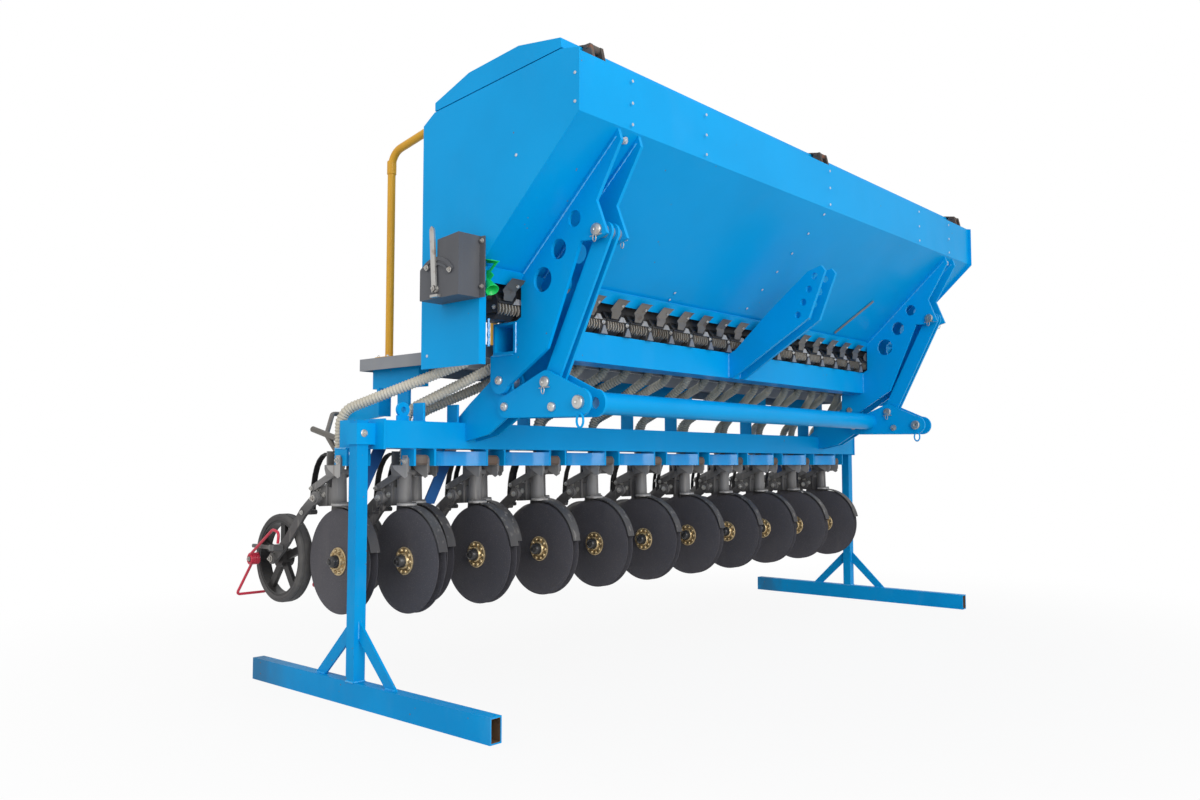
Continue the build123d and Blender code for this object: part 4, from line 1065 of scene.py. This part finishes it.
@dataclass
class StandTrim:
    """Rusty linings in the open foot tubes, and the eyes and lugs on the rail's top."""

    stand_x: float = 1.555
    ends: tuple[float, float] = (-0.607, 0.574)
    rail_top: float = 0.851
    eye_x: float = 1.410
    lug_xs: tuple[float, float] = (1.347, 1.208)

    def build(self) -> None:
        """Makes the linings as sleeves and the eyes as turned rings on a foot."""
        lining = Shell()
        outer = [(-0.0158, 0.0042), (0.0158, 0.0042), (0.0158, 0.0658), (-0.0158, 0.0658)]
        inner = [(-0.0150, 0.0050), (0.0150, 0.0050), (0.0150, 0.0650), (-0.0150, 0.0650)]
        for y, way in zip(self.ends, (1.0, -1.0)):
            lining.add(sleeve(outer, inner, y + way * 0.0006, y + way * 0.090, axis=1), capped=False)
        lining.repeat([(-self.stand_x, 0, 0), (self.stand_x, 0, 0)]).place("foot_linings", (RUST,))
        made, z = Shell(), self.rail_top
        eye = [(-0.005, 0.0095), (-0.005, 0.0235), (0.005, 0.0235), (0.005, 0.0095), (-0.005, 0.0095)]
        for side in SIDES:
            x = side * self.eye_x
            made.add(lathe(eye, (x, -0.007, z + 0.036), (0.0, 1.0, 0.0), 28), capped=False)
            made.block((x - 0.0220, -0.0118, z + 0.0003), (x + 0.0220, -0.0022, z + 0.018))
            for x in (side * lug for lug in self.lug_xs):
                made.block((x - 0.004, -0.036, z + 0.0003), (x + 0.004, 0.018, z + 0.060), 0.0015)
                for edge in (-0.0048, 0.0048):
                    made.bead((x + edge, -0.034, z + 0.001), (x + edge, 0.016, z + 0.001), 0.0025)
        made.place("rail_eyes", (BLUE,))


@dataclass
class FrameTrim:
    """Rivets, folds and strips on the hopper, and the struts, weld beads and bolts of the frame."""

    rows: CoulterRows
    stand_x: float = 1.555
    stand_y: float = 0.015
    inside_x: float = 1.3880
    band_y: float = -0.745
    deck: float = 1.070
    lean: Point = (0.0, -0.68, -0.73)

    def slope_point(self, x: float, share: float) -> Point:
        """Returns a point on the hopper's front slope, share of the way up from its foot."""
        return x, -0.333 - 0.400 * share, 1.3035 + 0.370 * share

    def rivets(self) -> None:
        """Sets flush rivets in the band, and buttons and two bolts on the slope and the end plates."""
        made = Shell()
        button = [(0.0, 0.0048), (0.0014, 0.0045), (0.0024, 0.002)]
        for x in (-1.165, -0.800, 0.0, 0.800, 1.125):
            for z in (1.692, 1.755, 1.820):
                made.turn([(-0.0010, 0.0046), (0.00003, 0.0044)], (x, self.band_y, z), FRONT, 10)
        for x, shares in ((0.0, (0.09, 0.27, 0.44, 0.61, 0.79, 0.96)), (-0.475, (0.03, 0.09)),
                          (0.475, (0.03, 0.09))):
            for share in shares:
                made.turn(button, self.slope_point(x, share), self.lean, 10)
        for x in (-1.165, 1.165):
            made.bolt(self.slope_point(x, 0.945), self.lean, 0.0095)
        for side in SIDES:
            for y, z in ((-0.105, 1.05), (-0.105, 1.30), (-0.500, 1.600), (-0.730, 1.700), (-0.730, 1.780)):
                made.turn(button, (side * 1.3938, y, z), (side, 0.0, 0.0), 10)
        made.place("hopper_rivets", (PALE,))

    def sheets(self) -> None:
        """Makes the folds at the hopper's ends, the grey strip on its slope and the hoses' rest."""
        folds, reach = Shell(), self.inside_x
        for x in (-1.3885, 1.3665):
            folds.block((x, -0.3449, 1.0105), (x + 0.0220, -0.3420, 1.3020), 0.0006)
        folds.place("end_folds", (BLUE,))
        low, high = np.array(self.slope_point(0.761, 0.035)), np.array(self.slope_point(0.846, 0.415))
        across, out = unit(np.cross(high - low, np.array(self.lean))), np.array(self.lean)
        corners = ((-0.007, 0.0), (-0.007, 0.003), (0.007, 0.003), (0.007, 0.0))
        strip = np.array([[spot + w * across + h * out for w, h in corners] for spot in (low, high)])
        Shell().add(strip).place("slope_strip", (STRIP,))
        rest = Shell().block((-reach, -0.1455, 1.060), (reach, -0.1425, 1.102), 0.0008)
        rest.block((-reach, -0.1425, 1.060), (reach, -0.1300, 1.063), 0.0008)
        rest.place("hose_rest", (STRIP,))

    def struts(self) -> None:
        """Makes the four flat struts of the rear rail, whose heads lean inward."""
        made = Shell()
        for x in (-1.5, -1.2, 1.2, 1.5):
            inward = math.copysign(1.0, -x)
            foot, head = x + inward * 0.0335, x + inward * 0.130
            flat = [(foot - 0.024, 0.5800), (foot + 0.024, 0.5800), (head + 0.024, 0.7655),
                    (head - 0.024, 0.7655)]
            made.add(prism(flat, 0.1640, 0.1700, 0.0008, axis=1))
        made.place("rear_struts", (SHADED_STRUT,))

    def beads(self) -> None:
        """Runs weld beads along the coulters' lugs, round the stands' tubes and along their gussets."""
        made = Shell()
        for x, y in self.rows.all():
            for step in (-0.0445, -0.0355, 0.0355, 0.0445):
                made.bead((x + step, y - 0.074, 0.7650), (x + step, y - 0.012, 0.7650), 0.0025)
        y = self.stand_y
        for x in (-self.stand_x, self.stand_x):
            for step in (-0.020, 0.020):
                made.bead((x + step, y - 0.020, 0.0705), (x + step, y + 0.020, 0.0705))
                made.bead((x - 0.020, y + step, 0.0705), (x + 0.020, y + step, 0.0705))
            for way in SIDES:
                post, near, far = y + way * 0.020, y + way * 0.156, y + way * 0.202
                for edge in (x - 0.004, x + 0.004):
                    made.bead((edge, post, 0.197), (edge, post, 0.248), 0.0025)
                    made.bead((edge, near, 0.0708), (edge, far, 0.0708), 0.0025)
        made.place("frame_welds", (HIGHLIT_WELD,))

    def bolts(self) -> None:
        """Sets the bolts of the stands' sockets, the headstock's outer ends and the platform."""
        made = Shell()
        for side in SIDES:
            made.bolt((side * self.stand_x, -0.0115, 0.810), FRONT, 0.009)
            for y in (-0.290, -0.230):
                made.bolt((side * 1.1045, y, 1.158), UP, 0.009)
        for x in (-1.30, -0.75, -0.15, 0.15, 0.75, 1.30):
            for y in (0.06, 0.25):
                made.bolt((x, y, self.deck), UP, 0.006)
        made.place("frame_bolts", (ZINC,))

    def build(self) -> None:
        """Places the hopper's rivets and sheets, the struts, the beads and the bolts."""
        for step in (self.rivets, self.sheets, self.struts, self.beads, self.bolts):
            step()


@dataclass
class Studio:
    """White sweep, soft light and the photograph's camera."""

    eye: Point = (-3.290, -2.505, 0.720)
    look: Point = (0.7461, 0.6627, 0.0643)
    focal_px: float = 978.0
    frame_px: float = 1200.0
    sensor: float = 36.0
    sky: float = 0.84
    key: float = 190.0
    side: float = 22.0
    floor_size: float = 60.0

    def hang(self, name: str, data: bpy.types.ID, place: Point, look: Vector) -> bpy.types.Object:
        """Sets a camera or a lamp in the scene.

        Args:
            name: Its name.
            data: The camera or the light.
            place: Where it stands.
            look: The direction in which it looks.

        Returns:
            The object.
        """
        obj = bpy.data.objects.new(name, data)
        obj.location = place
        obj.rotation_mode = "QUATERNION"
        obj.rotation_quaternion = look.to_track_quat("-Z", "Y")
        bpy.context.scene.collection.objects.link(obj)
        return obj

    def camera(self) -> None:
        """Sets the camera where the photograph was taken, level, with no shift."""
        data = bpy.data.cameras.new("camera")
        data.sensor_width = self.sensor
        data.lens = self.focal_px * self.sensor / self.frame_px
        bpy.context.scene.camera = self.hang("camera", data, self.eye, Vector(self.look))

    def floor(self) -> None:
        """Lays a pale floor whose colour runs into the white backdrop and still keeps a shadow."""
        s = self.floor_size
        mesh = bpy.data.meshes.new("floor")
        mesh.from_pydata([(-s, -s, 0), (s, -s, 0), (s, s, 0), (-s, s, 0)], [], [(0, 1, 2, 3)])
        floor = bpy.data.objects.new("floor", mesh)
        bpy.context.scene.collection.objects.link(floor)
        made = bpy.data.materials.new("floor")
        made.use_nodes = True
        tree = made.node_tree
        shader = tree.nodes["Principled BSDF"]
        feed(tree, shader, {"Base Color": (0.50, 0.50, 0.50, 1.0), "Roughness": 0.8})
        camera, glossy = (wire(tree, "LightPath", f"Is {kind} Ray", {}) for kind in ("Camera", "Glossy"))
        seen = wire(tree, "Math", "Value", {0: camera, 1: glossy}, operation="MAXIMUM")
        place = wire(tree, "TexCoord", "Object", {})
        reach = wire(tree, "VectorMath", "Value", {0: place}, operation="LENGTH")
        limits = {"Value": reach, "From Min": 1.2, "From Max": 3.4, "To Min": 0.91}
        fade = wire(tree, "MapRange", "Result", limits, interpolation_type="SMOOTHSTEP")
        share = wire(tree, "Math", "Value", {0: seen, 1: fade}, operation="MULTIPLY")
        glow = wire(tree, "Emission", "Emission", {})
        mix = wire(tree, "MixShader", "Shader", {0: share, 1: shader.outputs["BSDF"], 2: glow})
        feed(tree, tree.nodes["Material Output"], {"Surface": mix})
        mesh.materials.append(made)

    def light(self) -> None:
        """Lights the object from the coupling side, more weakly from the near end, and from the sky."""
        scene = bpy.context.scene
        scene.view_settings.view_transform = "Standard"
        world = bpy.data.worlds.new("world")
        scene.world = world
        world.use_nodes = True
        tree, white = world.node_tree, (1.0, 1.0, 1.0, 1.0)
        sky = tree.nodes["Background"]
        feed(tree, sky, {"Color": white, "Strength": self.sky})
        ray = wire(tree, "LightPath", "Is Camera Ray", {})
        back = wire(tree, "Background", "Background", {"Color": white})
        mix = wire(tree, "MixShader", "Shader", {0: ray, 1: sky.outputs["Background"], 2: back})
        feed(tree, tree.nodes["World Output"], {"Surface": mix})
        for name, place, target, size, power in (
            ("key", (-2.8, -6.0, 2.4), (0.0, -0.2, 1.0), 3.5, self.key),
            ("side", (-6.0, 0.5, 2.6), (-1.4, 0.0, 1.0), 3.0, self.side),
        ):
            data = bpy.data.lights.new(name, "AREA")
            data.size, data.energy = size, power
            self.hang(name, data, place, Vector(target) - Vector(place))

    def build(self) -> None:
        """Makes the camera, the floor and the lights."""
        self.camera()
        self.floor()
        self.light()


# CAD pieces that take their own shade of their slot's finish
SHADES: dict[str, Finish] = {
    "bowed_plates": GLOSS, "stands": WORN, "front_coulters": COULTER, "rear_coulters": COULTER,
    "crank": LEVER, "hinge_brackets": HINGE, "lid_straps": HINGE,
}


@dataclass
class CarriedNodes:
    """The CAD pieces that stay as they are and only take a finish."""

    nodes: dict[str, bpy.types.Object]
    slots: dict[str, str]

    def dress(self) -> None:
        """Gives each CAD piece the finish of its slot in the record, or its own shade of it."""
        for name, obj in self.nodes.items():
            finish = SHADES.get(name, SLOTS[self.slots[name]])
            obj.data.materials.clear()
            obj.data.materials.append(finish.material())
            log.info("%s takes %s", name, finish.name)


def main() -> None:
    """Builds the drill's fine pieces and finishes, then the studio."""
    logging.basicConfig(level=logging.INFO, format="%(message)s")
    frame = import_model()
    slots = {part["node"]: part["material_slot"] for part in frame["record"]["subparts"]}
    Studio().build()
    CarriedNodes(frame["nodes"], slots).dress()
    rows = CoulterRows()
    for piece in (DiscPairs(rows), PressWheels(rows), SeedHoses(rows), MeteringRow(), Headstock(),
                  CoulterFittings(rows), Handrails(), DriveCase(), CoveringTines(rows), FlapAndFunnel(),
                  StandTrim(), FrameTrim(rows)):
        piece.build()


if __name__ == "__main__":
    main()
